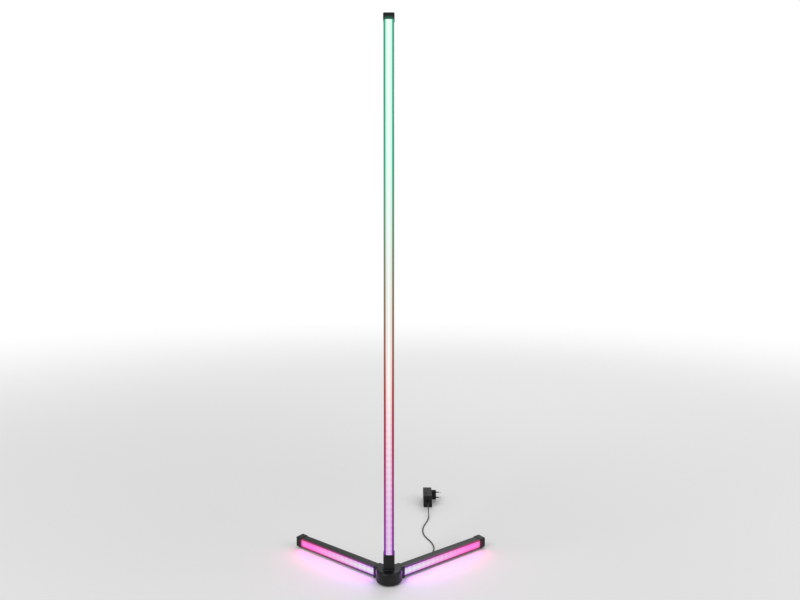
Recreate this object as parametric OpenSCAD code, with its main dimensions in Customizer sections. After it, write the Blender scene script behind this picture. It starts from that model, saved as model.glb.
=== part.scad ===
/* [Overall] */
// Height of the lamp from the floor to the top of its cap
lamp_h = 1500; // [1200:10:1700]
// Length of each leg from the hub's axis to the end of its cap
leg_reach = 349; // [310:1:420]
// Angle of each leg away from straight back
leg_angle = 53; // [50:0.5:58]
// Gap between the floor and the underside of a leg's bar
leg_lift = 5; // [4.8:0.1:7]

/* [Bar] */
// Width of the extruded bar across its diffuser
bar_w = 27; // [25:0.5:31]
// Depth of the extruded bar from back to front
bar_d = 26; // [24:0.5:29]
// Wall of the extrusion
bar_wall = 1.6; // [1.3:0.1:2]
// Radius of the bar's two rear edges
bar_round = 3; // [1:0.5:4]
// Width of the dark lip on each side of the diffuser
lip_w = 3.5; // [2.8:0.1:4.5]
// Thickness of the lip
lip_t = 1.4; // [1:0.1:2]
// Depth of the light chamber, from the front face to the shelf
chamber_d = 12; // [10.5:0.5:13]
// Thickness of the shelf that carries the light tape
shelf_t = 1.5; // [1:0.1:2]
// Thickness of the ribs that hold the diffuser's flange from behind
rib_t = 1; // [0.8:0.1:1.5]
// How far those ribs stand in from the walls
rib_w = 1.4; // [1:0.1:2]
// Clearance between an extrusion and the socket or cap around it
bar_fit = 0.15; // [0.1:0.01:0.2]

/* [Diffuser] */
// Thickness of the diffuser's hidden flange
flange_t = 1.6; // [1.2:0.1:2]
// Wall of the diffuser's front, left over its hollow back
diffuser_wall = 1.7; // [1.3:0.1:2.2]
// How far the diffuser bulges past the lips
diffuser_dome = 0.6; // [0.4:0.1:0.8]
// Clearance around the diffuser in its groove
diffuser_fit = 0.15; // [0.1:0.01:0.2]

/* [Light tape] */
// Width of the light tape
tape_w = 12; // [10:0.5:14]
// Thickness of the light tape
tape_t = 0.3; // [0.2:0.05:0.5]
// Distance from one light to the next
led_pitch = 16.67; // [12:0.01:34]
// Side of one light's square package
led_side = 5; // [3.5:0.1:5.4]
// Height of one light's package
led_t = 1.6; // [1.2:0.1:2]
// Bare tape before the first light and after the last
tape_tail = 8; // [6:0.5:12]
// Width of the flat leads
lead_w = 8; // [6:0.5:9]
// Thickness of the flat leads
lead_t = 1; // [0.8:0.1:1.2]

/* [Hub] */
// Radius of the round hub
hub_r = 36; // [35.5:0.5:40]
// Height of the hub's top above the leg sockets
hub_crown = 2; // [1:0.5:4]
// Wall of the hub's housing
hub_wall = 2.4; // [2:0.1:3]
// Radius of the housing's upper edge
top_round = 8; // [6:0.5:9]
// Radius of the housing's lower edge
base_round = 5; // [3:0.5:5]
// Wall of the leg sockets
arm_wall = 2; // [1.6:0.1:2.4]
// Radius of the leg sockets' upper edges
arm_round = 4; // [3:0.5:5]
// Distance from the hub's axis to the mouth of a leg socket
arm_len = 43; // [42:0.5:52]
// Depth of a leg socket
socket_depth = 18; // [14:0.5:19]
// Height of the pole's collar above the hub's top
collar_h = 44; // [40:1:60]
// Wall of the collar
collar_wall = 1.6; // [1.4:0.1:2.2]
// Radius of the collar's upright edges
collar_round = 4; // [3:0.5:4.5]
// Radius of the hollow fillet at the collar's foot
collar_fillet = 3; // [2:0.5:3.5]
// Thickness of the ledge that the pole stands on
ledge_t = 4.4; // [3:0.1:6]
// Thickness of the base plate
plate_t = 2; // [1.5:0.1:2.4]
// Gap around the base plate, and around inner parts in the housing
plate_gap = 0.2; // [0.1:0.05:0.3]
// Width of the rim that the housing keeps around the base plate
rim_w = 5.3; // [5.1:0.1:6]

/* [Rubber pads] */
// Thickness of the rubber pads
pad_t = 2.2; // [1.8:0.1:2.4]
// Radius of the pad under the hub
hub_pad_r = 24; // [20:0.5:25]
// Radius of the pad under each leg's tip
foot_pad_r = 8.5; // [7:0.5:10]
// How much wider than its pad the boss above it is
boss_margin = 0.5; // [0.3:0.1:1]

/* [Caps] */
// Height of the cap on the pole
cap_h = 17; // [14:0.5:24]
// Length of the cap on a leg
leg_cap_len = 22; // [21.5:0.5:30]
// Wall of a cap's skirt
cap_wall = 0.85; // [0.8:0.05:1.5]
// Thickness of a cap's closed end
cap_end = 4; // [3:0.5:6]
// Radius of a cap's upright edges
cap_round = 2; // [1:0.5:2]
// Radius of the edges around a cap's closed end
cap_end_round = 3.5; // [2:0.5:3.5]

/* [Bracket and joiners] */
// Clearance around a spigot inside a bar
spigot_gap = 0.35; // [0.2:0.05:0.5]
// Length of a spigot beyond the end of the bar that it holds
spigot_len = 60; // [52:1:80]
// Width of the bracket's centre block
block_w = 17; // [16:0.5:20]
// Length of the joiners between the pole's sections
joiner_len = 90; // [70:1:120]
// Number of sections in the pole
pole_sections = 3; // [3:1:3]

/* [Button] */
// Radius of the push button
button_r = 4; // [3.5:0.1:4.1]
// How far the button's hidden flange stands out around it
button_flange = 1; // [0.8:0.1:1.1]
// Height of the push button above the hub
button_h = 0.9; // [0.9:0.1:1.5]
// Travel of the push button
button_travel = 0.8; // [0.4:0.1:0.8]
// Clearance around the push button
button_gap = 0.3; // [0.2:0.05:0.4]
// Side of the switch under the button
switch_side = 6; // [5:0.5:6.5]
// Height of the switch's body
switch_h = 3.5; // [3:0.1:4]
// Radius of the switch's plunger
plunger_r = 1.7; // [1.4:0.1:1.9]

/* [Inlet and plug] */
// Height of the power inlet's axis
inlet_z = 12; // [11.6:0.1:12.4]
// Radius of the inlet's body
inlet_r = 5.2; // [5:0.1:5.4]
// Radius of the inlet's bore
inlet_bore_r = 2.9; // [2.85:0.01:3]
// Radius of the plug's barrel
barrel_r = 2.75; // [2.6:0.01:2.8]
// Length of the plug's barrel
barrel_len = 9.5; // [9:0.1:11]
// Radius of the plug's moulded body
plug_r = 5; // [4.5:0.1:5.4]
// Length of the plug's moulded body
plug_len = 15; // [14:0.5:16]
// Length of the ribbed relief behind the plug
plug_relief_len = 12; // [10:0.5:12]

/* [Adapter] */
// Length of the adapter's housing
adapter_len = 88; // [76:1:100]
// Width of the adapter's housing
adapter_w = 42; // [38:0.5:50]
// Thickness of the adapter's housing
adapter_t = 30; // [26:0.5:36]
// Radius of the housing's edges
adapter_round = 4; // [2.5:0.5:5]
// Radius of the housing's two shoulders, at the end away from the cord
adapter_shoulder = 10; // [6:0.5:12]
// Width of the seam between the two shells
seam_w = 0.5; // [0.3:0.1:0.8]
// Depth of that seam
seam_d = 0.6; // [0.4:0.1:1]
// How far the plug block stands out of the housing
plug_block_h = 16; // [13:0.5:18]
// Width of the plug block across its pins
plug_block_w = 35.3; // [34:0.1:35.4]
// Thickness of the plug block
plug_block_t = 13.7; // [13:0.1:14]
// Distance between the two pins
pin_pitch = 19; // [18.6:0.1:19]
// Radius of a pin
pin_r = 2; // [1.95:0.01:2.05]
// Length of a pin
pin_len = 19; // [18.5:0.1:19.5]
// Length of the insulating sleeve on a pin
sleeve_len = 10; // [9:0.5:11]
// Length of the ribbed relief on the adapter
adapter_relief_len = 30; // [24:1:30]

/* [Cord] */
// Diameter of the cord
cord_d = 3.5; // [3.2:0.1:3.8]
// Length of the straight runs in the stored hank
hank_run = 70; // [60:1:76]
// Radius of the hank's tightest fold
hank_fold = 10.5; // [10:0.5:12]
// Gap between turns that lie beside each other
hank_side_gap = 0.6; // [0.6:0.05:0.9]
// Gap between the lower layer of turns and the upper one
hank_layer_gap = 0.45; // [0.45:0.05:0.7]
// How far the tie draws the hank in at its waist
hank_waist = 5; // [3:0.5:6]
// Thickness of the tie
tie_t = 0.8; // [0.6:0.1:1.2]
// Width of the tie
tie_w = 12; // [8:0.5:16]

/* [Hidden] */
$fn = 64;

black = [0.06, 0.06, 0.065];
milky = [0.95, 0.93, 0.96];
steel = [0.72, 0.73, 0.75];
rubber = [0.1, 0.1, 0.1];
board_green = [0.08, 0.32, 0.2];

// A little extra length on a cut, so that it runs past the face it opens
cut = 0.5;

// Places across the bar: u runs across the diffuser, v runs from back to front
front_v = bar_d / 2;
rear_v = -bar_d / 2;
shelf_v = front_v - chamber_d;
inner_w = bar_w - 2 * bar_wall;
mouth_w = bar_w - 2 * lip_w;
flange_v = front_v - lip_t - diffuser_fit - flange_t;
rib_v = flange_v - diffuser_fit - rib_t;
guide_t = 0.8;
rear_low_v = rear_v + bar_wall;
rear_high_v = shelf_v - shelf_t;
spigot_w = inner_w - 2 * spigot_gap;
spigot_low_v = rear_low_v + spigot_gap;
spigot_d = rear_high_v - rear_low_v - 2 * spigot_gap;

// Heights
plate_top = pad_t + plate_t;
leg_z = leg_lift + bar_w / 2;
arm_w = bar_d + 2 * (bar_fit + arm_wall);
arm_top = leg_z + bar_w / 2 + bar_fit + arm_wall;
hub_h = arm_top + hub_crown;
ceiling_z = hub_h - hub_wall;
pole_seat = ceiling_z + ledge_t;
collar_top = hub_h + collar_h;
collar_w = bar_w + 2 * (bar_fit + collar_wall);
collar_d = bar_d + 2 * (bar_fit + collar_wall);
pole_end = lamp_h - cap_end;
strip_gap = 0.2;
strip_low = collar_top + strip_gap;
strip_high = lamp_h - cap_h - strip_gap;
section_len = (pole_end - pole_seat) / pole_sections;
pole_tape_low = collar_top + 2;

// Places along a leg, counted from the hub's axis
socket_s = arm_len - socket_depth;
leg_end_s = leg_reach - cap_end;
leg_strip_s = arm_len + strip_gap;
leg_strip_end = leg_reach - leg_cap_len - strip_gap;
leg_tape_s = arm_len + 1;
foot_s = leg_reach - leg_cap_len / 2;

// Housing
cavity_r = hub_r - hub_wall;
plate_r = hub_r - rim_w - plate_gap;
flat_r = hub_r - top_round;
button_y = flat_r - button_r - button_flange - plate_gap / 2;
boss_r = 3.2;
boss_angle = 42;
screw_r = 1.5;
screw_gap = 0.1;
sunk_t = 1.3;
boss_place_r = plate_r - screw_r - sunk_t - 0.7;

// Button and switch, stacked down from the housing's ceiling
button_flange_t = 1.6;
stem_end_z = ceiling_z - 3;
switch_top_z = stem_end_z - 1.5;
switch_low_z = switch_top_z - switch_h;
board_t = 1.6;
tongue_top = switch_low_z - board_t;
tongue_t = 3.4;
switch_board_w = 10;
switch_board_d = 9;

// Control board, on two pillars of the ballast
ballast_top = 20;
pillar_h = 2;
board_z = ballast_top + pillar_h;
ballast_edge = -11;
board_edge = -6;
board_r = boss_place_r + 1.5;
pillar_x = 10;
pillar_y = -17;

// Bracket
block_low_z = leg_z - spigot_w / 2;
post_r = 2.6;
post_x = block_w / 2 - post_r - plate_gap;
post_y = -(spigot_low_v + spigot_d / 2) - 0.5;
leg_screw_s = [leg_strip_s + 9, leg_strip_s + 23];
pole_screw_z = [collar_top - 32, collar_top - 12];
joiner_screw_step = joiner_len / 4;

// Inlet and plug
inlet_flat_y = hub_r - 1.4;
inlet_flange_r = 6.5;
inlet_flange_t = 1.2;
inlet_inner_y = inlet_flat_y - 3.2;
inlet_back_y = inlet_inner_y - 11;
nut_t = 2.5;
inlet_pin_r = 1;
barrel_seat = 1.5;
plug_face_y = inlet_flat_y + inlet_flange_t;
plug_end_y = plug_face_y + plug_len;
cord_exit_y = plug_end_y + plug_relief_len;

// Adapter: its long side lies front to back, its pins point right
adapter_x = 123;
adapter_y = 500;
adapter_z = adapter_w / 2;
adapter_split_x = adapter_x + 1;
adapter_back_x = adapter_x + adapter_t / 2;
plug_block_y = adapter_y + adapter_len - 24;
relief_wide_r = 4.4;

// Hank: turns in one layer, counted to the place where the spiral reverses
hank_turns = 1.625;
hank_rings = 24;
hank_sides = 6;
hank_clear = 0.6;
hank_s = 126;
floor_z = cord_d / 2;
hank_pitch = cord_d + hank_side_gap;
hank_rise = cord_d + hank_layer_gap;
hank_r = hank_fold + hank_turns * hank_pitch;
leg_dir = [sin(leg_angle), cos(leg_angle)];
leg_back = [-cos(leg_angle), sin(leg_angle)];
hank_offset = bar_d / 2 + hank_clear + cord_d / 2 + hank_r - hank_pitch / 2;
hank_mid = hank_s * leg_dir + hank_offset * leg_back;

// Route of the cord from the plug to the hank
lead_in_route = [
    [0, cord_exit_y, inlet_z], [0, 67, 11.7], [0.5, 71, 10.8], [2, 75.5, 9], [5, 79.5, 6.6],
    [9.5, 82.6, 4.4], [15, 84, 2.6], [21.5, 84.3, floor_z], [28, 84.9, floor_z],
    [34.5, 87, floor_z]
];
// Route of the cord from the hank to the adapter
run_route = [
    [109, 142, 5], [117, 149.5, 3.3], [123.5, 159.5, 2.1], [128, 171.5, floor_z],
    [130.5, 186, floor_z], [130.5, 203, floor_z], [127, 222, floor_z], [120, 241, floor_z],
    [111.5, 259, floor_z], [104.5, 278, floor_z], [101, 298, floor_z], [100.5, 318, floor_z],
    [103, 338, floor_z], [107.5, 356, floor_z], [113, 373, floor_z], [118, 389, 2],
    [121.5, 405, 3.4], [123, 419, 6.2], [123, 431, 9.6], [123, 442, 13.2], [123, 452, 16.6],
    [123, 461, 19.4], [adapter_x, adapter_y - adapter_relief_len, adapter_z]
];

// ---------- Shapes that repeat ----------

// Rectangle from y0 to y1, with the lower corners rounded by r0 and the upper ones by r1
module soft_rect(w, y0, y1, r0, r1) {
    translate([-w / 2, y0 + r0]) square([w, y1 - y0 - r0 - r1]);
    translate([-w / 2 + r0, y0]) square([w - 2 * r0, y1 - y0 - r1]);
    translate([-w / 2 + r1, y0 + r0]) square([w - 2 * r1, y1 - y0 - r0]);
    for (side = [-1, 1]) {
        if (r0 > 0) translate([side * (w / 2 - r0), y0 + r0]) circle(r0);
        if (r1 > 0) translate([side * (w / 2 - r1), y1 - r1]) circle(r1);
    }
}

// Rectangle with all four corners rounded, centred
module round_rect(w, d, r) {
    soft_rect(w, -d / 2, d / 2, r, r);
}

// Half of a profile, ready to be turned about the upright axis
module right_half(reach) {
    intersection() {
        children();
        translate([0, -reach]) square([reach, 2 * reach]);
    }
}

// Puts a bar's own frame on the pole: u along X, v towards the front, length upwards
module on_pole() {
    rotate([0, 0, 180]) children();
}

// Puts a bar's own frame on the right leg: u upwards, v outwards, length along the leg
module on_right() {
    translate([0, 0, leg_z])
        rotate([0, 0, -leg_angle]) rotate([-90, 0, 0]) rotate([0, 0, -90]) children();
}

// The left leg mirrors the right one
module on_left() {
    mirror([1, 0, 0]) on_right() children();
}

// Hole or shaft through a bar's back wall, pointing from the back to the front
module back_shaft(s, r, v0, v1) {
    translate([0, v0, s]) rotate([-90, 0, 0]) cylinder(h = v1 - v0, r = r);
}

// Pan-head screw into a bar's back, its head seated at v
module back_screw(s, v, depth, r) {
    head_r = 1.9 * r;
    head_t = 1.2 * r;
    difference() {
        union() {
            translate([0, v - head_t, s]) rotate([-90, 0, 0])
                cylinder(h = head_t, r1 = head_r - 0.5, r2 = head_r);
            back_shaft(s, r, v - cut, v + depth);
        }
        translate([-0.3 * r, v - head_t - cut, s - 1.2 * r])
            cube([0.6 * r, 0.5 * head_t + cut, 2.4 * r]);
        translate([-1.2 * r, v - head_t - cut, s - 0.3 * r])
            cube([2.4 * r, 0.5 * head_t + cut, 0.6 * r]);
    }
}

// ---------- Bar: extrusion, diffuser, light tape, cap ----------

module bar_profile() {
    difference() {
        union() {
            round_rect(bar_w, bar_d, bar_round);
            translate([-bar_w / 2, 0]) square([bar_w, front_v]);
        }
        translate([-inner_w / 2, shelf_v]) square([inner_w, front_v - lip_t - shelf_v]);
        translate([-mouth_w / 2, shelf_v]) square([mouth_w, chamber_d + cut]);
        translate([-inner_w / 2, rear_low_v]) square([inner_w, rear_high_v - rear_low_v]);
    }
    for (side = [-1, 1]) {
        translate([side * (inner_w - rib_w) / 2 - rib_w / 2, rib_v]) square([rib_w, rib_t]);
        translate([side * (tape_w / 2 + guide_t) - guide_t / 2, shelf_v - shelf_t / 2])
            square([guide_t, shelf_t / 2 + guide_t]);
    }
}

module diffuser_profile() {
    front_w = mouth_w - 2 * diffuser_fit;
    bulge_r = (front_w * front_w / 4 + diffuser_dome * diffuser_dome) / (2 * diffuser_dome);
    hollow_w = front_w - 2 * diffuser_wall;
    difference() {
        union() {
            translate([-inner_w / 2 + diffuser_fit, flange_v])
                square([inner_w - 2 * diffuser_fit, flange_t]);
            intersection() {
                translate([-front_w / 2, flange_v]) square([front_w, chamber_d]);
                translate([0, front_v + diffuser_dome - bulge_r]) circle(bulge_r, $fn = 720);
            }
        }
        translate([-hollow_w / 2, flange_v - cut])
            square([hollow_w, front_v - diffuser_wall - flange_v + cut]);
    }
}

module bar(s0, s1) {
    translate([0, 0, s0]) linear_extrude(s1 - s0) bar_profile();
}

module diffuser(s0, s1) {
    translate([0, 0, s0]) linear_extrude(s1 - s0) diffuser_profile();
}

module tape(s0, s1) {
    translate([-tape_w / 2, shelf_v, s0]) cube([tape_w, tape_t, s1 - s0]);
}

// Lights centred between the two bare tails of the tape
module leds(s0, s1) {
    room = s1 - s0 - 2 * tape_tail - led_side;
    count = floor(room / led_pitch);
    first = s0 + tape_tail + led_side / 2 + (room - count * led_pitch) / 2;
    for (i = [0 : count])
        translate([-led_side / 2, shelf_v + tape_t, first + i * led_pitch - led_side / 2])
            cube([led_side, led_t, led_side]);
}

// Cap over a bar's end: skirt from s0, closed end at s1, tongue in the rear chamber
module cap(s0, s1) {
    skirt = bar_fit + cap_wall;
    w = bar_w + 2 * skirt;
    d = bar_d + 2 * skirt;
    difference() {
        intersection() {
            translate([0, 0, s0]) linear_extrude(s1 - s0) round_rect(w, d, cap_round);
            rotate([90, 0, 0]) linear_extrude(2 * d, center = true)
                soft_rect(w, s0 - cut, s1, 0, cap_end_round);
            rotate([90, 0, 90]) linear_extrude(2 * w, center = true)
                soft_rect(d, s0 - cut, s1, 0, cap_end_round);
        }
        translate([0, 0, s0 - cut]) linear_extrude(s1 - s0 - cap_end + cut)
            square([bar_w + 2 * bar_fit, bar_d + 2 * bar_fit], center = true);
    }
    tongue_len = s1 - s0 - cap_end - 1;
    translate([-spigot_w / 2, spigot_low_v, s1 - cap_end - tongue_len])
        cube([spigot_w, spigot_d, tongue_len + cut]);
}

// ---------- Hub ----------

// Outline of the leg socket across the leg, standing on the housing's lower edge
module arm_outline(r) {
    rotate([0, 0, -90]) soft_rect(arm_w, pad_t - leg_z, arm_top - leg_z, 1.5, r);
}

module puck(r, z0, z1, r0, r1) {
    rotate_extrude() right_half(2 * r) soft_rect(2 * r, z0, z1, r0, r1);
}

// Hollow fillet around the foot of the collar
module fillet_section(r) {
    difference() {
        square([r + collar_fillet, collar_fillet]);
        translate([r + collar_fillet, collar_fillet]) circle(collar_fillet);
    }
}

module collar_foot() {
    long_x = collar_w - 2 * collar_round;
    long_y = collar_d - 2 * collar_round;
    translate([0, 0, hub_h]) {
        for (x = [-1, 1], y = [-1, 1])
            translate([x * long_x / 2, y * long_y / 2, 0])
                rotate_extrude() fillet_section(collar_round);
        for (turn = [0, 180]) {
            rotate([0, 0, turn]) translate([long_x / 2, 0, 0]) rotate([90, 0, 0])
                linear_extrude(long_y, center = true) fillet_section(collar_round);
            rotate([0, 0, turn + 90]) translate([long_y / 2, 0, 0]) rotate([90, 0, 0])
                linear_extrude(long_x, center = true) fillet_section(collar_round);
        }
    }
}

module housing_outside() {
    puck(hub_r, pad_t, hub_h, base_round, top_round);
    for (side = [0, 1]) mirror([side, 0, 0]) on_right()
        linear_extrude(arm_len) arm_outline(arm_round);
    translate([0, 0, hub_h - hub_wall / 2])
        linear_extrude(collar_top - hub_h + hub_wall / 2)
            round_rect(collar_w, collar_d, collar_round);
    collar_foot();
}

// Walls of the leg sockets inside the round housing, above the base plate
module socket_walls() {
    for (side = [0, 1]) mirror([side, 0, 0]) intersection() {
        on_right() translate([0, 0, socket_s - arm_wall])
            linear_extrude(socket_depth + arm_wall) arm_outline(1.5);
        puck(hub_r - hub_wall / 2, plate_top + plate_gap, hub_h - hub_wall / 2, 0,
            top_round - hub_wall / 2);
    }
}

module boss_places() {
    for (side = [-1, 1])
        translate([side * boss_place_r * cos(boss_angle), -boss_place_r * sin(boss_angle), 0])
            children();
}

module hub_housing() {
    inlet_pad_w = 16;
    color(black) difference() {
        union() {
            difference() {
                housing_outside();
                puck(cavity_r, plate_top + plate_gap, ceiling_z, 0, top_round - hub_wall);
                translate([0, 0, pad_t - cut])
                    cylinder(h = plate_top + plate_gap - pad_t + 2 * cut, r = plate_r + plate_gap);
            }
            socket_walls();
            boss_places() translate([0, 0, plate_top])
                cylinder(h = ceiling_z - plate_top + cut, r = boss_r);
            intersection() {
                translate([-inlet_pad_w / 2, inlet_inner_y, plate_top + plate_gap])
                    cube([inlet_pad_w, hub_r, inlet_z + inlet_r + 3 - plate_top]);
                cylinder(h = hub_h, r = hub_r - hub_wall / 2);
            }
        }
        // Bar sockets
        for (side = [0, 1]) mirror([side, 0, 0]) on_right() {
            translate([0, 0, socket_s]) linear_extrude(socket_depth + cut)
                square([bar_w + 2 * bar_fit, bar_d + 2 * bar_fit], center = true);
            translate([-spigot_w / 2 - spigot_gap, spigot_low_v - spigot_gap, socket_s - arm_wall - cut])
                cube([spigot_w + 2 * spigot_gap, shelf_v + 5 - spigot_low_v, arm_wall + 2 * cut]);
        }
        on_pole() {
            translate([0, 0, pole_seat]) linear_extrude(collar_top - pole_seat + cut)
                square([bar_w + 2 * bar_fit, bar_d + 2 * bar_fit], center = true);
            translate([-spigot_w / 2 - spigot_gap, spigot_low_v - spigot_gap, ceiling_z - cut])
                cube([spigot_w + 2 * spigot_gap, shelf_v + 5 - spigot_low_v, ledge_t + 2 * cut]);
            for (z = pole_screw_z) back_shaft(z, 2 + screw_gap, -collar_d, 0);
        }
        // Button hole
        translate([0, button_y, ceiling_z - cut])
            cylinder(h = hub_wall + 2 * cut, r = button_r + button_gap);
        // Flat and hole for the inlet
        translate([-inlet_flange_r - 1, inlet_flat_y, inlet_z - inlet_flange_r - 1])
            cube([2 * inlet_flange_r + 2, hub_r, 2 * inlet_flange_r + 2]);
        translate([0, inlet_inner_y - cut, inlet_z]) rotate([-90, 0, 0])
            cylinder(h = hub_r - inlet_inner_y, r = inlet_r + screw_gap);
        // Base screws
        boss_places() translate([0, 0, plate_top - cut])
            cylinder(h = 10, r = screw_r + screw_gap);
    }
}

module base_screw_places() {
    boss_places() children();
    for (side = [-1, 1]) translate([side * post_x, post_y, 0]) children();
}

// Countersunk screw, flush with the base plate's underside
module sunk_screw(r, length, head_t) {
    cylinder(h = head_t, r1 = r + head_t, r2 = r);
    translate([0, 0, head_t / 2]) cylinder(h = length - head_t / 2, r = r);
}

module hub_base_plate() {
    color(steel) difference() {
        translate([0, 0, pad_t]) cylinder(h = plate_t, r = plate_r);
        base_screw_places() translate([0, 0, pad_t - cut]) {
            cylinder(h = plate_t + 2 * cut, r = screw_r + screw_gap);
            cylinder(h = sunk_t + cut + screw_gap, r1 = screw_r + sunk_t + cut + screw_gap,
                r2 = screw_r);
        }
    }
}

module base_screws() {
    color(steel) base_screw_places() translate([0, 0, pad_t]) sunk_screw(screw_r, 9, sunk_t);
}

module hub_pad() {
    color(rubber) cylinder(h = pad_t, r = hub_pad_r);
}

module bracket_arm() {
    translate([-spigot_w / 2, spigot_low_v, 6])
        cube([spigot_w, spigot_d, socket_s + spigot_len - 6]);
}

module hub_bracket() {
    spigot_top = pole_seat + spigot_len;
    color(steel) difference() {
        union() {
            on_pole() translate([-block_w / 2, spigot_low_v, block_low_z + 1])
                cube([block_w, spigot_d, ceiling_z - block_low_z - 1]);
            on_pole() translate([-spigot_w / 2, spigot_low_v, ceiling_z - 3])
                cube([spigot_w, spigot_d, spigot_top - ceiling_z + 3]);
            on_right() bracket_arm();
            on_left() bracket_arm();
            for (side = [-1, 1]) translate([side * post_x, post_y, plate_top])
                cylinder(h = block_low_z - plate_top + 2, r = post_r);
            translate([-switch_board_w / 2, post_y, tongue_top - tongue_t])
                cube([switch_board_w, button_y + switch_board_d / 2 - post_y, tongue_t]);
        }
        for (side = [-1, 1]) translate([side * post_x, post_y, plate_top - cut])
            cylinder(h = 10, r = screw_r + screw_gap);
        on_pole() for (z = pole_screw_z) back_shaft(z, 2 + screw_gap, -collar_d, 0);
        for (side = [0, 1]) mirror([side, 0, 0]) on_right()
            for (s = leg_screw_s) back_shaft(s, screw_r + screw_gap, -bar_d, 0);
    }
}

module ballast() {
    color([0.2, 0.2, 0.21]) difference() {
        union() {
            intersection() {
                translate([0, 0, plate_top])
                    cylinder(h = ballast_top - plate_top, r = board_r);
                translate([-hub_r, -hub_r, 0]) cube([2 * hub_r, hub_r + ballast_edge, hub_h]);
            }
            for (side = [-1, 1]) translate([side * pillar_x, pillar_y, ballast_top - cut])
                cylinder(h = pillar_h + cut, r = 3);
        }
        boss_places() cylinder(h = hub_h, r = boss_r + 2 * plate_gap);
        for (side = [-1, 1]) translate([side * pillar_x, pillar_y, ballast_top - 5])
            cylinder(h = 10, r = 1.25 + screw_gap);
    }
}

// ---------- Boards, switch, button, inlet, leads ----------

module control_board() {
    color(board_green) difference() {
        intersection() {
            translate([0, 0, board_z]) cylinder(h = board_t, r = board_r);
            translate([-hub_r, -hub_r, 0]) cube([2 * hub_r, hub_r + board_edge, hub_h]);
        }
        boss_places() cylinder(h = hub_h, r = boss_r + 2 * plate_gap);
        for (side = [-1, 1]) translate([side * pillar_x, pillar_y, 0])
            cylinder(h = hub_h, r = 1.25 + screw_gap);
    }
}

module board_components() {
    top = board_z + board_t;
    color([0.16, 0.16, 0.17]) {
        // Radio module with its screening can
        translate([-7, -29, top]) cube([14, 8, 0.8]);
        translate([-6, -28, top + 0.8]) cube([12, 6, 1.6]);
        // Controller and driver chips
        translate([-3.5, -18, top]) cube([7, 7, 1.4]);
        translate([12.5, -13.5, top]) cube([5, 5.5, 1.6]);
        // Storage capacitor
        translate([-15.5, -11.5, top]) cylinder(h = 7.5, r = 3.2);
    }
}

module board_screws() {
    color(steel) for (side = [-1, 1]) translate([side * pillar_x, pillar_y, 0]) {
        translate([0, 0, board_z + board_t]) cylinder(h = 1.4, r = 2.4);
        translate([0, 0, board_z - 5]) cylinder(h = 5 + board_t + cut, r = 1.25);
    }
}

module switch_board() {
    color(board_green) translate([-switch_board_w / 2, button_y - switch_board_d / 2, tongue_top])
        cube([switch_board_w, switch_board_d, board_t]);
}

module switch_body() {
    color([0.15, 0.15, 0.16]) difference() {
        translate([-switch_side / 2, button_y - switch_side / 2, switch_low_z])
            cube([switch_side, switch_side, switch_h]);
        translate([0, button_y, stem_end_z - 3 - button_travel - 0.3])
            cylinder(h = 10, r = plunger_r + button_gap);
    }
}

module switch_plunger() {
    color([0.75, 0.7, 0.6]) translate([0, button_y, stem_end_z - 3])
        cylinder(h = 3, r = plunger_r);
}

module power_button() {
    dome_r = 24;
    top = hub_h + button_h;
    color([0.12, 0.12, 0.13]) translate([0, button_y, 0]) {
        intersection() {
            translate([0, 0, ceiling_z - 1]) cylinder(h = top - ceiling_z + 1, r = button_r);
            translate([0, 0, top - dome_r]) sphere(dome_r, $fn = 200);
        }
        translate([0, 0, ceiling_z - button_flange_t])
            cylinder(h = button_flange_t, r = button_r + button_flange);
        translate([0, 0, stem_end_z])
            cylinder(h = ceiling_z - stem_end_z - button_flange_t / 2, r = plunger_r);
    }
}

module inlet() {
    color([0.1, 0.1, 0.1]) translate([0, 0, inlet_z]) rotate([-90, 0, 0]) {
        difference() {
            union() {
                translate([0, 0, inlet_back_y])
                    cylinder(h = inlet_flat_y - inlet_back_y + 0.2, r = inlet_r);
                translate([0, 0, inlet_flat_y])
                    cylinder(h = inlet_flange_t, r = inlet_flange_r);
            }
            translate([0, 0, plug_face_y - barrel_len - 0.6])
                cylinder(h = barrel_len + 2, r = inlet_bore_r);
        }
        translate([0, 0, plug_face_y - barrel_len - 1])
            cylinder(h = barrel_len - 0.5, r = inlet_pin_r);
    }
}

module inlet_nut() {
    color(steel) translate([0, inlet_inner_y - nut_t, inlet_z]) rotate([-90, 0, 0]) difference() {
        cylinder(h = nut_t, r = inlet_r + 2.4, $fn = 6);
        translate([0, 0, -cut]) cylinder(h = nut_t + 2 * cut, r = inlet_r + screw_gap);
    }
}

// Flat strip standing on edge along a route in the plan
module strip_2d(points, t) {
    for (i = [0 : len(points) - 2]) {
        step = points[i + 1] - points[i];
        translate(points[i]) rotate(atan2(step[1], step[0]))
            translate([0, -t / 2]) square([norm(step), t]);
        if (i > 0) translate(points[i]) circle(t / 2);
    }
}

// From the control board's underside into the right leg, lying on the tape's end
module leg_lead() {
    v = shelf_v + tape_t + lead_t / 2;
    across = [cos(leg_angle), -sin(leg_angle)];
    bend = 15 * leg_dir + v * across;
    color([0.85, 0.85, 0.83]) translate([0, 0, board_z - lead_w])
        linear_extrude(lead_w)
            strip_2d([[bend[0], board_edge - 3.5], bend, (leg_tape_s + 4) * leg_dir + v * across], lead_t);
}

module pole_lead() {
    v = shelf_v + tape_t;
    color([0.85, 0.85, 0.83]) {
        on_pole() translate([-lead_w / 2, v, board_z + board_t])
            cube([lead_w, lead_t, pole_tape_low + 4 - board_z - board_t]);
        translate([-lead_w / 2, board_edge - 2, board_z + board_t])
            cube([lead_w, 2 - board_edge - v, lead_t]);
    }
}

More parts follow.
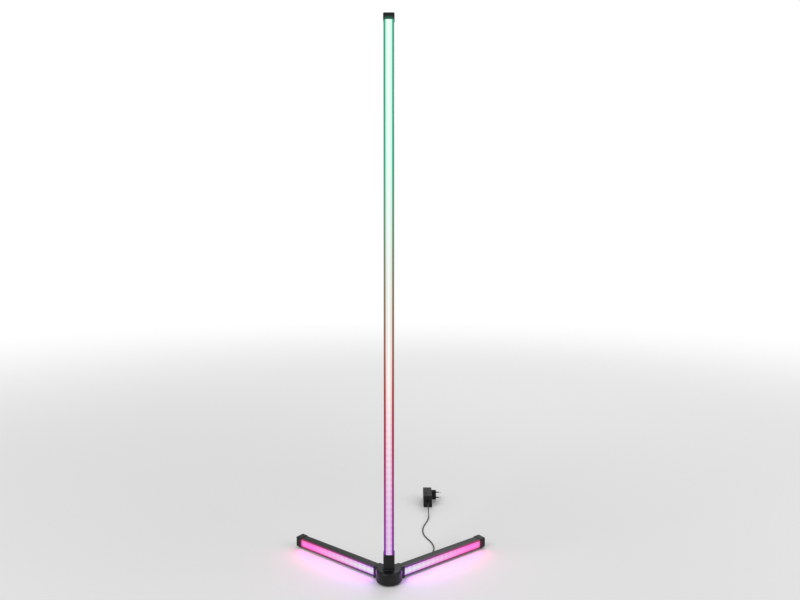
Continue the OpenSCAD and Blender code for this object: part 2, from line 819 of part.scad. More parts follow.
// From the inlet's back, under the bracket, up to the control board's underside
module inlet_lead() {
    low = (plate_top + block_low_z) / 2;
    rise_y = (ballast_edge + board_edge) / 2;
    back_y = inlet_back_y - lead_t / 2;
    route = [[rise_y, board_z], [rise_y, low], [back_y, low], [back_y, inlet_z + 2]];
    color([0.75, 0.1, 0.1]) rotate([90, 0, 90]) linear_extrude(2 * (post_x - post_r) - 0.6, center = true)
        strip_2d(route, lead_t);
}

// ---------- Pole ----------

module pole_section(i) {
    z0 = pole_seat + i * section_len;
    color(black) difference() {
        on_pole() bar(z0, z0 + section_len);
        on_pole() {
            for (z = pole_screw_z) back_shaft(z, 2 + screw_gap, -bar_d, shelf_v - shelf_t - cut);
            for (j = [1 : pole_sections - 1], side = [-1, 1])
                back_shaft(pole_seat + j * section_len + side * joiner_screw_step,
                    screw_r + screw_gap, -bar_d, shelf_v - shelf_t - cut);
        }
    }
}

module pole_joiner(i) {
    z = pole_seat + i * section_len;
    color(steel) difference() {
        on_pole() translate([-spigot_w / 2, spigot_low_v, z - joiner_len / 2])
            cube([spigot_w, spigot_d, joiner_len]);
        on_pole() for (side = [-1, 1])
            back_shaft(z + side * joiner_screw_step, screw_r + screw_gap, -bar_d, 0);
    }
}

module joiner_screws() {
    color(steel) on_pole() for (j = [1 : pole_sections - 1], side = [-1, 1])
        back_screw(pole_seat + j * section_len + side * joiner_screw_step, rear_v, 9, screw_r);
}

module pole_screws() {
    color(steel) on_pole() for (z = pole_screw_z) back_screw(z, -collar_d / 2, 12, 2);
}

module pole_diffuser() {
    color(milky) on_pole() diffuser(strip_low, strip_high);
}

module pole_tape() {
    color([0.92, 0.92, 0.9]) on_pole() tape(pole_tape_low, strip_high);
}

module pole_leds() {
    color([1, 0.95, 0.75]) on_pole() leds(pole_tape_low, strip_high);
}

module pole_cap() {
    color(black) on_pole() cap(lamp_h - cap_h, lamp_h);
}

// ---------- Legs ----------

module leg() {
    color(black) difference() {
        bar(socket_s, leg_end_s);
        for (s = leg_screw_s)
            back_shaft(s, screw_r + screw_gap, -bar_d, shelf_v - shelf_t - cut);
    }
}

module leg_diffuser() {
    color(milky) diffuser(leg_strip_s, leg_strip_end);
}

module leg_tape() {
    color([0.92, 0.92, 0.9]) tape(leg_tape_s, leg_strip_end);
}

module leg_leds() {
    color([1, 0.95, 0.75]) leds(leg_tape_s, leg_strip_end);
}

// Cap of the right leg, with the boss that its rubber pad sits under
module leg_cap() {
    skin = leg_lift - bar_fit - cap_wall / 2;
    color(black) {
        on_right() cap(leg_reach - leg_cap_len, leg_reach);
        translate([foot_s * leg_dir[0], foot_s * leg_dir[1], pad_t])
            cylinder(h = skin - pad_t, r = foot_pad_r + boss_margin);
    }
}

module leg_foot() {
    color(rubber) translate([foot_s * leg_dir[0], foot_s * leg_dir[1], 0])
        cylinder(h = pad_t, r = foot_pad_r);
}

module leg_screws() {
    color(steel) for (side = [0, 1]) mirror([side, 0, 0]) on_right()
        for (s = leg_screw_s) back_screw(s, rear_v, 9, screw_r);
}

// ---------- Cord ----------

function unit(v) = v / norm(v);

// Point at u, from 0 to 1, on the smooth curve through p[i] and p[i + 1]
function smooth_point(p, i, u) =
    let (n = len(p) - 1,
         a = p[max(i - 1, 0)], b = p[i], c = p[i + 1], d = p[min(i + 2, n)])
    0.5 * (2 * b + (c - a) * u + (2 * a - 5 * b + 4 * c - d) * u * u
        + (3 * b - a - 3 * c + d) * u * u * u);

function smooth_route(p, steps) = concat(
    [for (i = [0 : len(p) - 2], k = [0 : steps - 1]) smooth_point(p, i, k / steps)],
    [p[len(p) - 1]]);

// Ring of points around p[i], square to the route, or to the given end directions
function ring(p, i, r, sides, dir) =
    let (side_dir = unit(cross(dir, [0, 0, 1])), up = cross(side_dir, dir))
    [for (k = [0 : sides - 1]) let (angle = 360 * (k + 0.5) / sides)
        p[i] + r * (cos(angle) * side_dir + sin(angle) * up)];

function route_dir(p, i, dir0, dir1) =
    i == 0 ? dir0 : i == len(p) - 1 ? dir1 : unit(p[i + 1] - p[i - 1]);

// One closed tube along the points p, its ends square to dir0 and dir1
module tube(p, d, sides, dir0, dir1) {
    rings = [for (i = [0 : len(p) - 1]) each ring(p, i, d / 2, sides, route_dir(p, i, dir0, dir1))];
    last = len(p) - 1;
    walls = [for (i = [0 : last - 1], k = [0 : sides - 1])
        let (a = i * sides + k, b = i * sides + (k + 1) % sides)
        each [[a, b, b + sides], [a, b + sides, a + sides]]];
    caps = [for (k = [1 : sides - 2]) each
        [[0, k + 1, k], [last * sides, last * sides + k, last * sides + k + 1]]];
    polyhedron(rings, concat(walls, caps));
}

function route_length(p) = let (steps = [for (i = [1 : len(p) - 1]) norm(p[i] - p[i - 1])])
    steps * [for (s = steps) 1];

// The hank's centre line: a runs along the leg, b away from it, t counts the turns
function hank_spread(t) = hank_r - hank_pitch * (hank_turns - abs(t - hank_turns));
function hank_layer(t) = min(1, max(0, 2 * (t - hank_turns) + 0.5));
function waist(a) = abs(a) < hank_run / 2 ? pow(cos(180 * a / hank_run), 2) : 0;
function hank_ab(t) =
    let (turn = t - floor(t + 0.00001), k = 4 * turn, r = hank_spread(t), half = hank_run / 2)
    k < 1 ? [-half + hank_run * k, r] :
    k < 2 ? [half + r * sin(180 * (k - 1)), r * cos(180 * (k - 1))] :
    k < 3 ? [half - hank_run * (k - 2), -r] :
    [-half - r * sin(180 * (k - 3)), -r * cos(180 * (k - 3))];
function hank_point(t) =
    let (ab = hank_ab(t), draw = waist(ab[0]),
         b = ab[1] - sign(ab[1]) * hank_waist * draw,
         flat = hank_mid + ab[0] * leg_dir + b * leg_back)
    [flat[0], flat[1], cord_d / 2 + (tie_t + 0.2) * draw + hank_rise * hank_layer(t)];

hank_steps = round(2 * hank_turns * hank_rings);
hank_dir = [leg_dir[0], leg_dir[1], 0];
hank_line = [for (i = [0 : hank_steps]) hank_point(i / hank_rings)];
hank_path = concat([hank_line[0] - cord_d * hank_dir], hank_line,
    [hank_line[hank_steps] + cord_d * hank_dir]);
hank_start = hank_path[0];
hank_finish = hank_path[len(hank_path) - 1];

// Least distance between stretches of the hank that are more than half a turn apart
hank_gap = min([for (i = [0 : hank_steps], j = [i + 1 : hank_steps])
    if (j - i > hank_rings / 2) norm(hank_line[i] - hank_line[j])]) - cord_d;

lead_in_path = smooth_route(concat(lead_in_route, [hank_start]), 2);
run_path = smooth_route(concat([hank_finish], run_route), 2);
echo(hank_gap_mm = hank_gap);
echo(cord_length_mm = route_length(lead_in_path) + route_length(hank_path) + route_length(run_path));
echo(hank_start = hank_start, hank_finish = hank_finish);

module cord_lead_in() {
    color(black) tube(lead_in_path, cord_d, 8, [0, 1, 0], hank_dir);
}

module cord_hank() {
    color(black) tube(hank_path, cord_d, hank_sides, hank_dir, hank_dir);
}

module cord_run() {
    color(black) tube(run_path, cord_d, 8, hank_dir, [0, 1, 0]);
}

module hank_tie() {
    inner_high = 2 * tie_t + cord_d + hank_rise + 0.6;
    near_b = -(hank_r - hank_pitch / 2 - hank_waist + cord_d / 2 + 0.3);
    far_b = hank_r - hank_waist + cord_d / 2 + 0.3;
    mid_b = (near_b + far_b) / 2;
    place = hank_mid + mid_b * leg_back;
    color([0.09, 0.09, 0.09]) translate([place[0], place[1], 0])
        rotate([0, 0, -leg_angle]) rotate([90, 0, 0]) linear_extrude(tie_w, center = true)
            difference() {
                soft_rect(far_b - near_b + 2 * tie_t, 0, inner_high + tie_t, 2.4, 2.4);
                soft_rect(far_b - near_b, tie_t, inner_high, 1.6, 1.6);
            }
}

// Ribbed, tapered relief from z = 0 to its length, round the cord
module ribbed_relief(length, r0, r1, ribs) {
    step = length / ribs;
    rib_h = 0.55 * step;
    cylinder(h = length, r1 = r0 - 0.7, r2 = r1 - 0.3);
    for (i = [0 : ribs - 1])
        translate([0, 0, i * step])
            cylinder(h = rib_h, r1 = r0 + (r1 - r0) * i / ribs, r2 = r0 + (r1 - r0) * (i + 0.6) / ribs);
}

module cord_plug() {
    grip_r = 0.7;
    color(black) translate([0, plug_face_y, inlet_z]) rotate([-90, 0, 0]) difference() {
        rotate_extrude() right_half(3 * plug_r) soft_rect(2 * plug_r, 0, plug_len, 0.8, 1.6);
        for (turn = [0 : 30 : 330]) rotate([0, 0, turn])
            translate([plug_r + grip_r / 2, 0, 4]) cylinder(h = plug_len - 7, r = grip_r, $fn = 16);
        translate([0, 0, -cut]) cylinder(h = barrel_seat + cut, r = barrel_r);
    }
}

module plug_barrel() {
    color([0.8, 0.8, 0.82]) translate([0, plug_face_y, inlet_z]) rotate([-90, 0, 0])
        translate([0, 0, -barrel_len]) difference() {
            cylinder(h = barrel_len + barrel_seat, r = barrel_r);
            translate([0, 0, -cut]) cylinder(h = barrel_len, r = inlet_pin_r + 0.3);
        }
}

module cord_plug_relief() {
    color(black) translate([0, plug_end_y, inlet_z]) rotate([-90, 0, 0])
        ribbed_relief(plug_relief_len, 3.9, cord_d / 2 + 0.5, 4);
}

// ---------- Adapter ----------

// Outline of the housing's broad face, its shoulders at the far end, drawn in by an inset
module adapter_face(inset) {
    translate([0, adapter_y + adapter_len / 2, adapter_z]) rotate([90, 0, 90])
        linear_extrude(adapter_x + adapter_t) rotate(-90)
            soft_rect(adapter_w - 2 * inset, inset - adapter_len / 2, adapter_len / 2 - inset,
                adapter_round - inset, adapter_shoulder - inset);
}

// The whole housing as one rounded block, standing on its long narrow side
module adapter_block() {
    intersection() {
        translate([adapter_x, adapter_y + adapter_len / 2, 0]) linear_extrude(adapter_w)
            round_rect(adapter_t, adapter_len, adapter_round);
        translate([adapter_x, 0, 0]) rotate([90, 0, 0])
            linear_extrude(4 * adapter_y, center = true)
                soft_rect(adapter_t, 0, adapter_w, adapter_round, adapter_round);
        adapter_face(0);
    }
}

// Everything on one side of the seam, less the groove that shows it
module adapter_seam(x, width) {
    difference() {
        translate([x, adapter_y - cut, -cut])
            cube([width, adapter_len + 2 * cut, adapter_w + 2 * cut]);
        adapter_face(seam_d);
    }
}

module adapter_front_shell() {
    finger_step = 4;
    color(black) difference() {
        adapter_block();
        translate([adapter_split_x, adapter_y - cut, -cut])
            cube([adapter_t, adapter_len + 2 * cut, adapter_w + 2 * cut]);
        adapter_seam(adapter_split_x - seam_w, 2 * seam_w);
        for (i = [0 : 5], z = [-cut, adapter_w - 0.8])
            translate([adapter_x - adapter_t / 2 + 6, adapter_y + 10 + i * finger_step, z])
                cube([6, 1.6, 0.8 + cut]);
    }
}

module adapter_rear_shell() {
    color(black) difference() {
        adapter_block();
        translate([adapter_split_x - adapter_t, adapter_y - cut, -cut])
            cube([adapter_t, adapter_len + 2 * cut, adapter_w + 2 * cut]);
    }
}

// Flat six-sided outline of the two-pin plug, its long way upwards
module plug_outline(w, t) {
    intersection() {
        square([w, t], center = true);
        rotate(45) square((w + 0.22 * t) / sqrt(2) * [1, 1], center = true);
    }
}

module pin_places() {
    for (side = [-1, 1])
        translate([adapter_back_x, plug_block_y, adapter_z + side * pin_pitch / 2])
            rotate([0, 90, 0]) children();
}

module adapter_plug_block() {
    color(black) {
        translate([adapter_back_x, plug_block_y, adapter_z]) rotate([0, 90, 0])
            linear_extrude(plug_block_h) plug_outline(plug_block_w, plug_block_t);
        difference() {
            pin_places() translate([0, 0, plug_block_h - cut])
                cylinder(h = sleeve_len + cut, r = pin_r - 0.1);
            pin_places() translate([0, 0, plug_block_h + sleeve_len - 3])
                cylinder(h = 10, r = 1.2);
        }
    }
}

module adapter_pins() {
    color([0.85, 0.85, 0.83]) pin_places() {
        translate([0, 0, plug_block_h + sleeve_len]) rotate_extrude() right_half(60)
            soft_rect(2 * pin_r, 0, pin_len - sleeve_len, 0, 0.9 * pin_r);
        translate([0, 0, plug_block_h + sleeve_len - 3 + 0.1])
            cylinder(h = 4, r = 1.1);
    }
}

module adapter_relief() {
    color(black) translate([adapter_x, adapter_y, adapter_z]) rotate([90, 0, 0])
        ribbed_relief(adapter_relief_len, relief_wide_r, cord_d / 2 + 0.5, 7);
}

// ---------- Nodes ----------

hub_housing();
hub_base_plate();
hub_pad();
hub_bracket();
ballast();
control_board();
board_components();
board_screws();
base_screws();
switch_board();
switch_body();
switch_plunger();
power_button();
inlet();
inlet_nut();
inlet_lead();
pole_lead();
mirror([1, 0, 0]) leg_lead();  // left_lead
leg_lead();  // right_lead
pole_section(0);  // pole_lower_section
pole_section(1);  // pole_middle_section
pole_section(2);  // pole_upper_section
pole_joiner(1);  // pole_lower_joiner
pole_joiner(2);  // pole_upper_joiner
joiner_screws();
pole_screws();
pole_diffuser();
pole_tape();
pole_leds();
pole_cap();
on_left() leg();  // left_leg
on_right() leg();  // right_leg
on_left() leg_diffuser();  // left_diffuser
on_right() leg_diffuser();  // right_diffuser
on_left() leg_tape();  // left_tape
on_right() leg_tape();  // right_tape
on_left() leg_leds();  // left_leds
on_right() leg_leds();  // right_leds
mirror([1, 0, 0]) leg_cap();  // left_cap
leg_cap();  // right_cap
mirror([1, 0, 0]) leg_foot();  // left_foot
leg_foot();  // right_foot
leg_screws();
cord_plug();
plug_barrel();
cord_plug_relief();
cord_lead_in();
cord_hank();
hank_tie();
cord_run();
adapter_relief();
adapter_front_shell();
adapter_rear_shell();
adapter_plug_block();
adapter_pins();
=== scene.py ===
"""Corner floor lamp: a slim light bar on a round hub with two low legs, lit in a run of colours."""
import math

import bmesh
import bpy
from mathutils import Matrix, Vector


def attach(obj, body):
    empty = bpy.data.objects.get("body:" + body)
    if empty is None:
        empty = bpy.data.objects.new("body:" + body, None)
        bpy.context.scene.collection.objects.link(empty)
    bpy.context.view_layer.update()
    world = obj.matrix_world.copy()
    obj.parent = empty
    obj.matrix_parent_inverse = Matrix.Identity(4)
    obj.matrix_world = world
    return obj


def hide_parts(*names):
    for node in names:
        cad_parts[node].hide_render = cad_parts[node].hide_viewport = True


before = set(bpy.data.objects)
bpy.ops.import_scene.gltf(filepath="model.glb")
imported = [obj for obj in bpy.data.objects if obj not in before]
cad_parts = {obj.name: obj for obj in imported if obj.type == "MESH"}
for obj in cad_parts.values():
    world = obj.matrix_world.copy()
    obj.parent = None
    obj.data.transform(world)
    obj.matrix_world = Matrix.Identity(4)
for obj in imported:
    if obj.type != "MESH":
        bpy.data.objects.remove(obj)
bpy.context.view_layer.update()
scene = bpy.context.scene
scene.view_settings.view_transform = "Standard"
MM = 0.001


# ---------- Camera ----------

LENS, SENSOR_WIDTH = 29.953, 36
CAMERA_PLACE = (0.0434, -1.7435, 0.9346)
YAW, PITCH, ROLL = 0.471, 84.696, 0.076


def set_camera():
    data = bpy.data.cameras.new("camera")
    data.lens = LENS
    data.sensor_width = SENSOR_WIDTH
    data.clip_start = 0.02
    data.clip_end = 60
    camera = bpy.data.objects.new("camera", data)
    camera.location = CAMERA_PLACE
    yaw, pitch, roll = (Matrix.Rotation(math.radians(turn), 4, axis)
                        for turn, axis in ((YAW, "Z"), (PITCH, "X"), (ROLL, "Z")))
    camera.rotation_euler = (yaw @ pitch @ roll).to_euler()
    scene.collection.objects.link(camera)
    scene.camera = camera


set_camera()

# ---------- Sizes of the lamp, in millimetres ----------

LEG_DIR = Vector((0.79864, 0.60182, 0))
LEG_BACK = Vector((-0.60182, 0.79864, 0))
LEG_Z = 18.5
BAR_W, BAR_D, BAR_WALL = 27, 26, 1.6
LIP_W, LIP_T = 3.5, 1.4
SHELF_V, TAPE_T = 1, 0.3
LAMP_H, LEG_REACH = 1500, 349
# Half of the fine line left open where two lengths of the pole meet
SEAM = 0.06
LIGHT_PITCH, LIGHT_SIDE, LIGHT_T = 16.67, 5, 1.6
POLE_FIRST_LIGHT, LEG_FIRST_LIGHT = 99, 60.375
# Gap all round the diffuser in its groove, its hollow face's wall, and the height of its crown
DIFFUSER_FIT, DIFFUSER_WALL, CROWN = 0.15, 1.7, 0.6

CORD_D = 3.5
# Up to the adapter's relief, then on inside the relief and the housing
HANK_RUN, HANK_R, HANK_PITCH, HANK_RISE, HANK_TURNS = 70, 17.1625, 4.1, 3.95, 1.625
HANK_WAIST, HANK_LIFT = 5, 1
HANK_MID = 126 * LEG_DIR + 30.4625 * LEG_BACK
LEAD_IN = [
    (0, 62.8, 12), (0, 67, 11.7), (0.5, 71, 10.8), (2, 75.5, 9), (5, 79.5, 6.6), (9.5, 82.6, 4.4),
    (15, 84, 2.6), (21.5, 84.3, 1.75), (28, 84.9, 1.75), (34.5, 87, 1.75)]
RUN = [
    (109, 142, 5), (117, 149.5, 3.3), (123.5, 159.5, 2.1), (128, 171.5, 1.75), (130.5, 186, 1.75),
    (130.5, 203, 1.75), (127, 222, 1.75), (120, 241, 1.75), (111.5, 259, 1.75), (104.5, 278, 1.75),
    (101, 298, 1.75), (100.5, 318, 1.75), (103, 338, 1.75), (107.5, 356, 1.75), (113, 373, 1.75),
    (118, 389, 2), (121.5, 405, 3.4), (123, 419, 6.2), (123, 431, 9.6), (123, 442, 13.2),
    (123, 452, 16.6), (123, 461, 19.4), (123, 470, 21)]
IN_HOUSING = [(123, 485, 21), (123, 501, 21), (123, 518, 21), (123, 535, 21)]


# ---------- Mesh tools ----------

def mesh_from(name, points, faces):
    """A mesh from points in millimetres."""
    mesh = bpy.data.meshes.new(name)
    mesh.from_pydata([Vector(p) * MM for p in points], [], faces)
    mesh.update()
    return mesh


def piece(name, mesh, material, body, replaces=(), crease=30):
    """A finished piece of the lamp that rides on a body and stands for the named CAD nodes."""
    obj = bpy.data.objects.new(name, mesh)
    scene.collection.objects.link(obj)
    mesh.materials.clear()
    mesh.materials.append(material)
    mesh.shade_smooth()
    mesh.set_sharp_from_angle(angle=math.radians(crease))
    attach(obj, body)
    if replaces:
        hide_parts(*replaces)
    return obj


def closed_outwards(mesh, merge=1e-6):
    """Merges doubled points and turns every face outwards."""
    work = bmesh.new()
    work.from_mesh(mesh)
    bmesh.ops.remove_doubles(work, verts=work.verts, dist=merge)
    bmesh.ops.recalc_face_normals(work, faces=work.faces)
    work.to_mesh(mesh)
    work.free()
    mesh.update()
    return mesh


def softened(name, node, material, width=0.35, body="lamp", crease=40):
    """A copy of a CAD node with its hard edges eased by a small rounded bevel."""
    work = bmesh.new()
    work.from_mesh(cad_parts[node].data)
    bmesh.ops.remove_doubles(work, verts=work.verts, dist=2e-6)
    bmesh.ops.dissolve_limit(work, angle_limit=math.radians(0.4), verts=work.verts, edges=work.edges)
    mesh = bpy.data.meshes.new(name)
    work.to_mesh(mesh)
    work.free()
    obj = bpy.data.objects.new("start", mesh)
    scene.collection.objects.link(obj)
    ease = obj.modifiers.new("ease", "BEVEL")
    ease.width, ease.segments, ease.limit_method = width * MM, 3, "ANGLE"
    ease.angle_limit = math.radians(34)
    even = obj.modifiers.new("even", "WEIGHTED_NORMAL")
    even.keep_sharp = True
    graph = bpy.context.evaluated_depsgraph_get()
    eased_mesh = bpy.data.meshes.new_from_object(obj.evaluated_get(graph), depsgraph=graph)
    bpy.data.objects.remove(obj)
    return piece(name, eased_mesh, material, body, [node], crease)


def turned(profile, sides=48):
    """A closed form turned about Z from (radius, height) points that begin and end on the axis."""
    points, faces, rows = [], [], []
    for r, z in profile:
        if r < 1e-6:
            rows.append([len(points)])
            points.append((0, 0, z))
            continue
        rows.append(list(range(len(points), len(points) + sides)))
        points += [(r * math.cos(math.tau * k / sides), r * math.sin(math.tau * k / sides), z)
                   for k in range(sides)]
    for low, high in zip(rows, rows[1:]):
        for k in range(sides):
            ring = [low[k % len(low)], low[(k + 1) % len(low)], high[(k + 1) % len(high)],
                    high[k % len(high)]]
            kept = [v for i, v in enumerate(ring) if v not in ring[:i]]
            if len(kept) > 2:
                faces.append(tuple(kept))
    return closed_outwards(mesh_from("turned", points, faces))


def sweep(path, radius, sides):
    """A closed round tube along a path, with a map that runs round it and along it."""
    points = [Vector(p) for p in path]
    count = len(points)
    ahead = [(points[min(i + 1, count - 1)] - points[max(i - 1, 0)]).normalized() for i in range(count)]
    side = ahead[0].orthogonal().normalized()
    verts, along, run = [], [], 0
    for i, place in enumerate(points):
        side = (side - ahead[i] * side.dot(ahead[i])).normalized()
        up = ahead[i].cross(side)
        run += (place - points[i - 1]).length if i else 0
        along.append(run)
        for k in range(sides):
            turn = 2 * math.pi * k / sides
            verts.append(place + radius * (math.cos(turn) * side + math.sin(turn) * up))
    faces = []
    for i in range(count - 1):
        for k in range(sides):
            a, b = i * sides + k, i * sides + (k + 1) % sides
            faces.append((a, b, b + sides, a + sides))
    tail = (count - 1) * sides
    faces.append(tuple(reversed(range(sides))))
    faces.append(tuple(range(tail, tail + sides)))
    mesh = mesh_from("tube", verts, faces)
    layer = mesh.uv_layers.new(name="run")
    for f in mesh.polygons:
        ring = [mesh.loops[j].vertex_index % sides for j in f.loop_indices]
        wraps = max(ring) - min(ring) > sides / 2
        for j, k in zip(f.loop_indices, ring):
            row = mesh.loops[j].vertex_index // sides
            layer.data[j].uv = ((k + (sides if wraps and k == 0 else 0)) / sides, along[row] * MM)
    return mesh


# ---------- Cord: its route first, then its tube ----------

def smooth_route(points, steps):
    """Catmull-Rom curve through the points."""
    ends = [points[0] * 2 - points[1], *points, points[-1] * 2 - points[-2]]
    route = []
    for p0, p1, p2, p3 in zip(ends, ends[1:], ends[2:], ends[3:]):
        for i in range(steps):
            t = i / steps
            route.append(0.5 * (2 * p1 + t * (p2 - p0) + t * t * (2 * p0 - 5 * p1 + 4 * p2 - p3)
                                + t ** 3 * (3 * p1 - p0 - 3 * p2 + p3)))
    return route + [points[-1]]


def hank_point(t):
    """Centre of the cord after t turns: in along the lower layer, up, and out along the upper."""
    r = HANK_R - HANK_PITCH * (HANK_TURNS - abs(t - HANK_TURNS))
    layer = min(max(2 * (t - HANK_TURNS) + 0.5, 0), 1)
    k, half = 4 * (t % 1), HANK_RUN / 2
    if k < 1:
        a, b = HANK_RUN * k - half, r
    elif k < 2:
        a, b = half + r * math.sin(math.pi * (k - 1)), r * math.cos(math.pi * (k - 1))
    elif k < 3:
        a, b = half - HANK_RUN * (k - 2), -r
    else:
        a, b = -half - r * math.sin(math.pi * (k - 3)), -r * math.cos(math.pi * (k - 3))
    draw = math.cos(math.pi * a / HANK_RUN) ** 2 if abs(a) < half else 0
    b -= math.copysign(HANK_WAIST * draw, b)
    height = CORD_D / 2 + HANK_LIFT * draw + HANK_RISE * layer
    return HANK_MID + a * LEG_DIR + b * LEG_BACK + Vector((0, 0, height))


def cord_route():
    turns = 2 * HANK_TURNS
    rings = 156
    hank = [hank_point(turns * i / rings) for i in range(rings + 1)]
    start, finish = hank[0], hank[-1]
    lead_in = smooth_route([Vector(p) for p in LEAD_IN] + [start - 3.5 * LEG_DIR, start], 4)
    run = smooth_route([finish, finish + 3.5 * LEG_DIR] + [Vector(p) for p in RUN + IN_HOUSING], 4)
    return lead_in[:-1] + hank + run[1:]


# ---------- Materials: sockets that can be added and multiplied ----------

class Value:
    """A shader socket, so that its maths is written as an expression."""

    def __init__(self, finish, socket):
        self.finish, self.socket = finish, socket

    def maths(self, operation, *values):
        inputs = dict(enumerate(values))
        return self.finish.node("ShaderNodeMath", {"operation": operation}, inputs)

    def __add__(self, other): return self.maths("ADD", self, other)
    def __radd__(self, other): return self.maths("ADD", other, self)
    def __sub__(self, other): return self.maths("SUBTRACT", self, other)
    def __rsub__(self, other): return self.maths("SUBTRACT", other, self)
    def __mul__(self, other): return self.maths("MULTIPLY", self, other)
    def __rmul__(self, other): return self.maths("MULTIPLY", other, self)
    def __truediv__(self, other): return self.maths("DIVIDE", self, other)
    def __mod__(self, other): return self.maths("FLOORED_MODULO", self, other)
    def __pow__(self, other): return self.maths("POWER", self, other)
    def __abs__(self): return self.maths("ABSOLUTE", self)
    def sine(self): return self.maths("SINE", self)

    def step(self, low, high):
        """0 below low, 1 above high, and smooth between."""
        settings = {"interpolation_type": "SMOOTHSTEP"}
        return self.finish.node("ShaderNodeMapRange", settings, {0: self, 1: low, 2: high})


class Finish:
    """A material with its Principled shader, built up node by node."""

    def __init__(self, name, **shader):
        self.material = bpy.data.materials.new(name)
        self.material.use_nodes = True
        self.tree = self.material.node_tree
        self.shader = self.tree.nodes["Principled BSDF"]
        self.set(**shader)

    def node(self, kind, settings=None, inputs=None, output=0):
        made = self.tree.nodes.new(kind)
        for key, value in (settings or {}).items():
            if key == "stops":
                self.fill_ramp(made.color_ramp, value)
            else:
                setattr(made, key, value)
        for key, value in (inputs or {}).items():
            self.feed(made.inputs[key], value)
        return Value(self, made.outputs[output])

    def feed(self, target, value):
        if isinstance(value, Value):
            self.tree.links.new(value.socket, target)
        elif isinstance(value, tuple) and len(value) == 3 and target.type == "RGBA":
            target.default_value = (*value, 1)
        else:
            target.default_value = value

    @staticmethod
    def fill_ramp(ramp, stops):
        while len(ramp.elements) < len(stops):
            ramp.elements.new(0.5)
        for element, (place, colour) in zip(ramp.elements, stops):
            element.position = place
            element.color = (*colour, 1)

    def set(self, **shader):
        """Shader sockets by name, with a low line for each space."""
        for key, value in shader.items():
            self.feed(self.shader.inputs[key.replace("_", " ")], value)

    def place(self):
        return self.node("ShaderNodeTexCoord", output="Object")

    def parts(self, vector):
        split = self.node("ShaderNodeSeparateXYZ", {}, {0: vector})
        return [Value(self, s) for s in split.socket.node.outputs]

    def stretch(self, vector, scale):
        return self.node("ShaderNodeVectorMath", {"operation": "MULTIPLY"}, {0: vector, 1: scale})

    def noise(self, vector, scale, detail=3, rough=0.5):
        inputs = {"Vector": vector, "Scale": scale, "Detail": detail, "Roughness": rough}
        return self.node("ShaderNodeTexNoise", {}, inputs, "Fac")

    def cells(self, vector, scale):
        inputs = {"Vector": vector, "Scale": scale}
        return self.node("ShaderNodeTexVoronoi", {"feature": "F1"}, inputs, "Distance")

    def mix(self, share, a, b):
        return self.node("ShaderNodeMix", {"data_type": "RGBA"}, {0: share, 6: a, 7: b}, 2)

    def ramp(self, value, stops):
        return self.node("ShaderNodeValToRGB", {"stops": stops}, {0: value}, "Color")

    def bump(self, height, depth, strength=1):
        inputs = {"Height": height, "Distance": depth, "Strength": strength}
        return self.node("ShaderNodeBump", {}, inputs)


# Colours of the light: deep tints at a strip's rims, and the pale face between them
VIOLET, MAGENTA, CRIMSON = (0.2, 0.01, 0.35), (0.33, 0.01, 0.22), (0.38, 0.01, 0.08)
SCARLET, AMBER, SEA_GREEN = (0.36, 0.04, 0.03), (0.25, 0.15, 0.08), (0.02, 0.36, 0.2)
LILAC, MILK, MINT = (0.78, 0.58, 0.78), (0.9, 0.9, 0.88), (0.85, 0.95, 0.92)
PALE, PINK = (0.78, 0.72, 0.82), (0.95, 0.2, 0.75)
POLE_RIM = [(0.05, VIOLET), (0.25, CRIMSON), (0.35, SCARLET), (0.5, AMBER), (0.75, SEA_GREEN)]
POLE_HEART = [(0.1, LILAC), (0.35, MILK), (0.75, MINT)]
LEG_RIM = [(0.15, VIOLET), (0.45, MAGENTA), (0.9, CRIMSON)]
LEG_HEART = [(0.25, PALE), (0.8, PINK)]
RIM_TO_FLANK, FLANK_TINT = 2.6, 0.3


def lit_places(f, on_leg):
    """Place along the bar from 0 to 1, then distance in metres from the strip's middle line, and
    out through its front."""
    x, y, z = f.parts(f.place())
    if on_leg:
        return ((abs(x) * LEG_DIR.x + y * LEG_DIR.y) / (LEG_REACH * MM), abs(z - LEG_Z * MM),
                abs(x) * -LEG_BACK.x - y * LEG_BACK.y)
    return z / (LAMP_H * MM), abs(x), y * -1


def rim_light(f, along, on_leg):
    return f.ramp(along, LEG_RIM if on_leg else POLE_RIM)


def strip_light(f, along, on_leg):
    """The pale heart of a strip's light, and its flanks, tinted by a brighter shade of the rims."""
    heart = f.ramp(along, LEG_HEART if on_leg else POLE_HEART)
    bright = f.stretch(rim_light(f, along, on_leg), (RIM_TO_FLANK,) * 3)
    return heart, f.mix(FLANK_TINT, heart, bright)


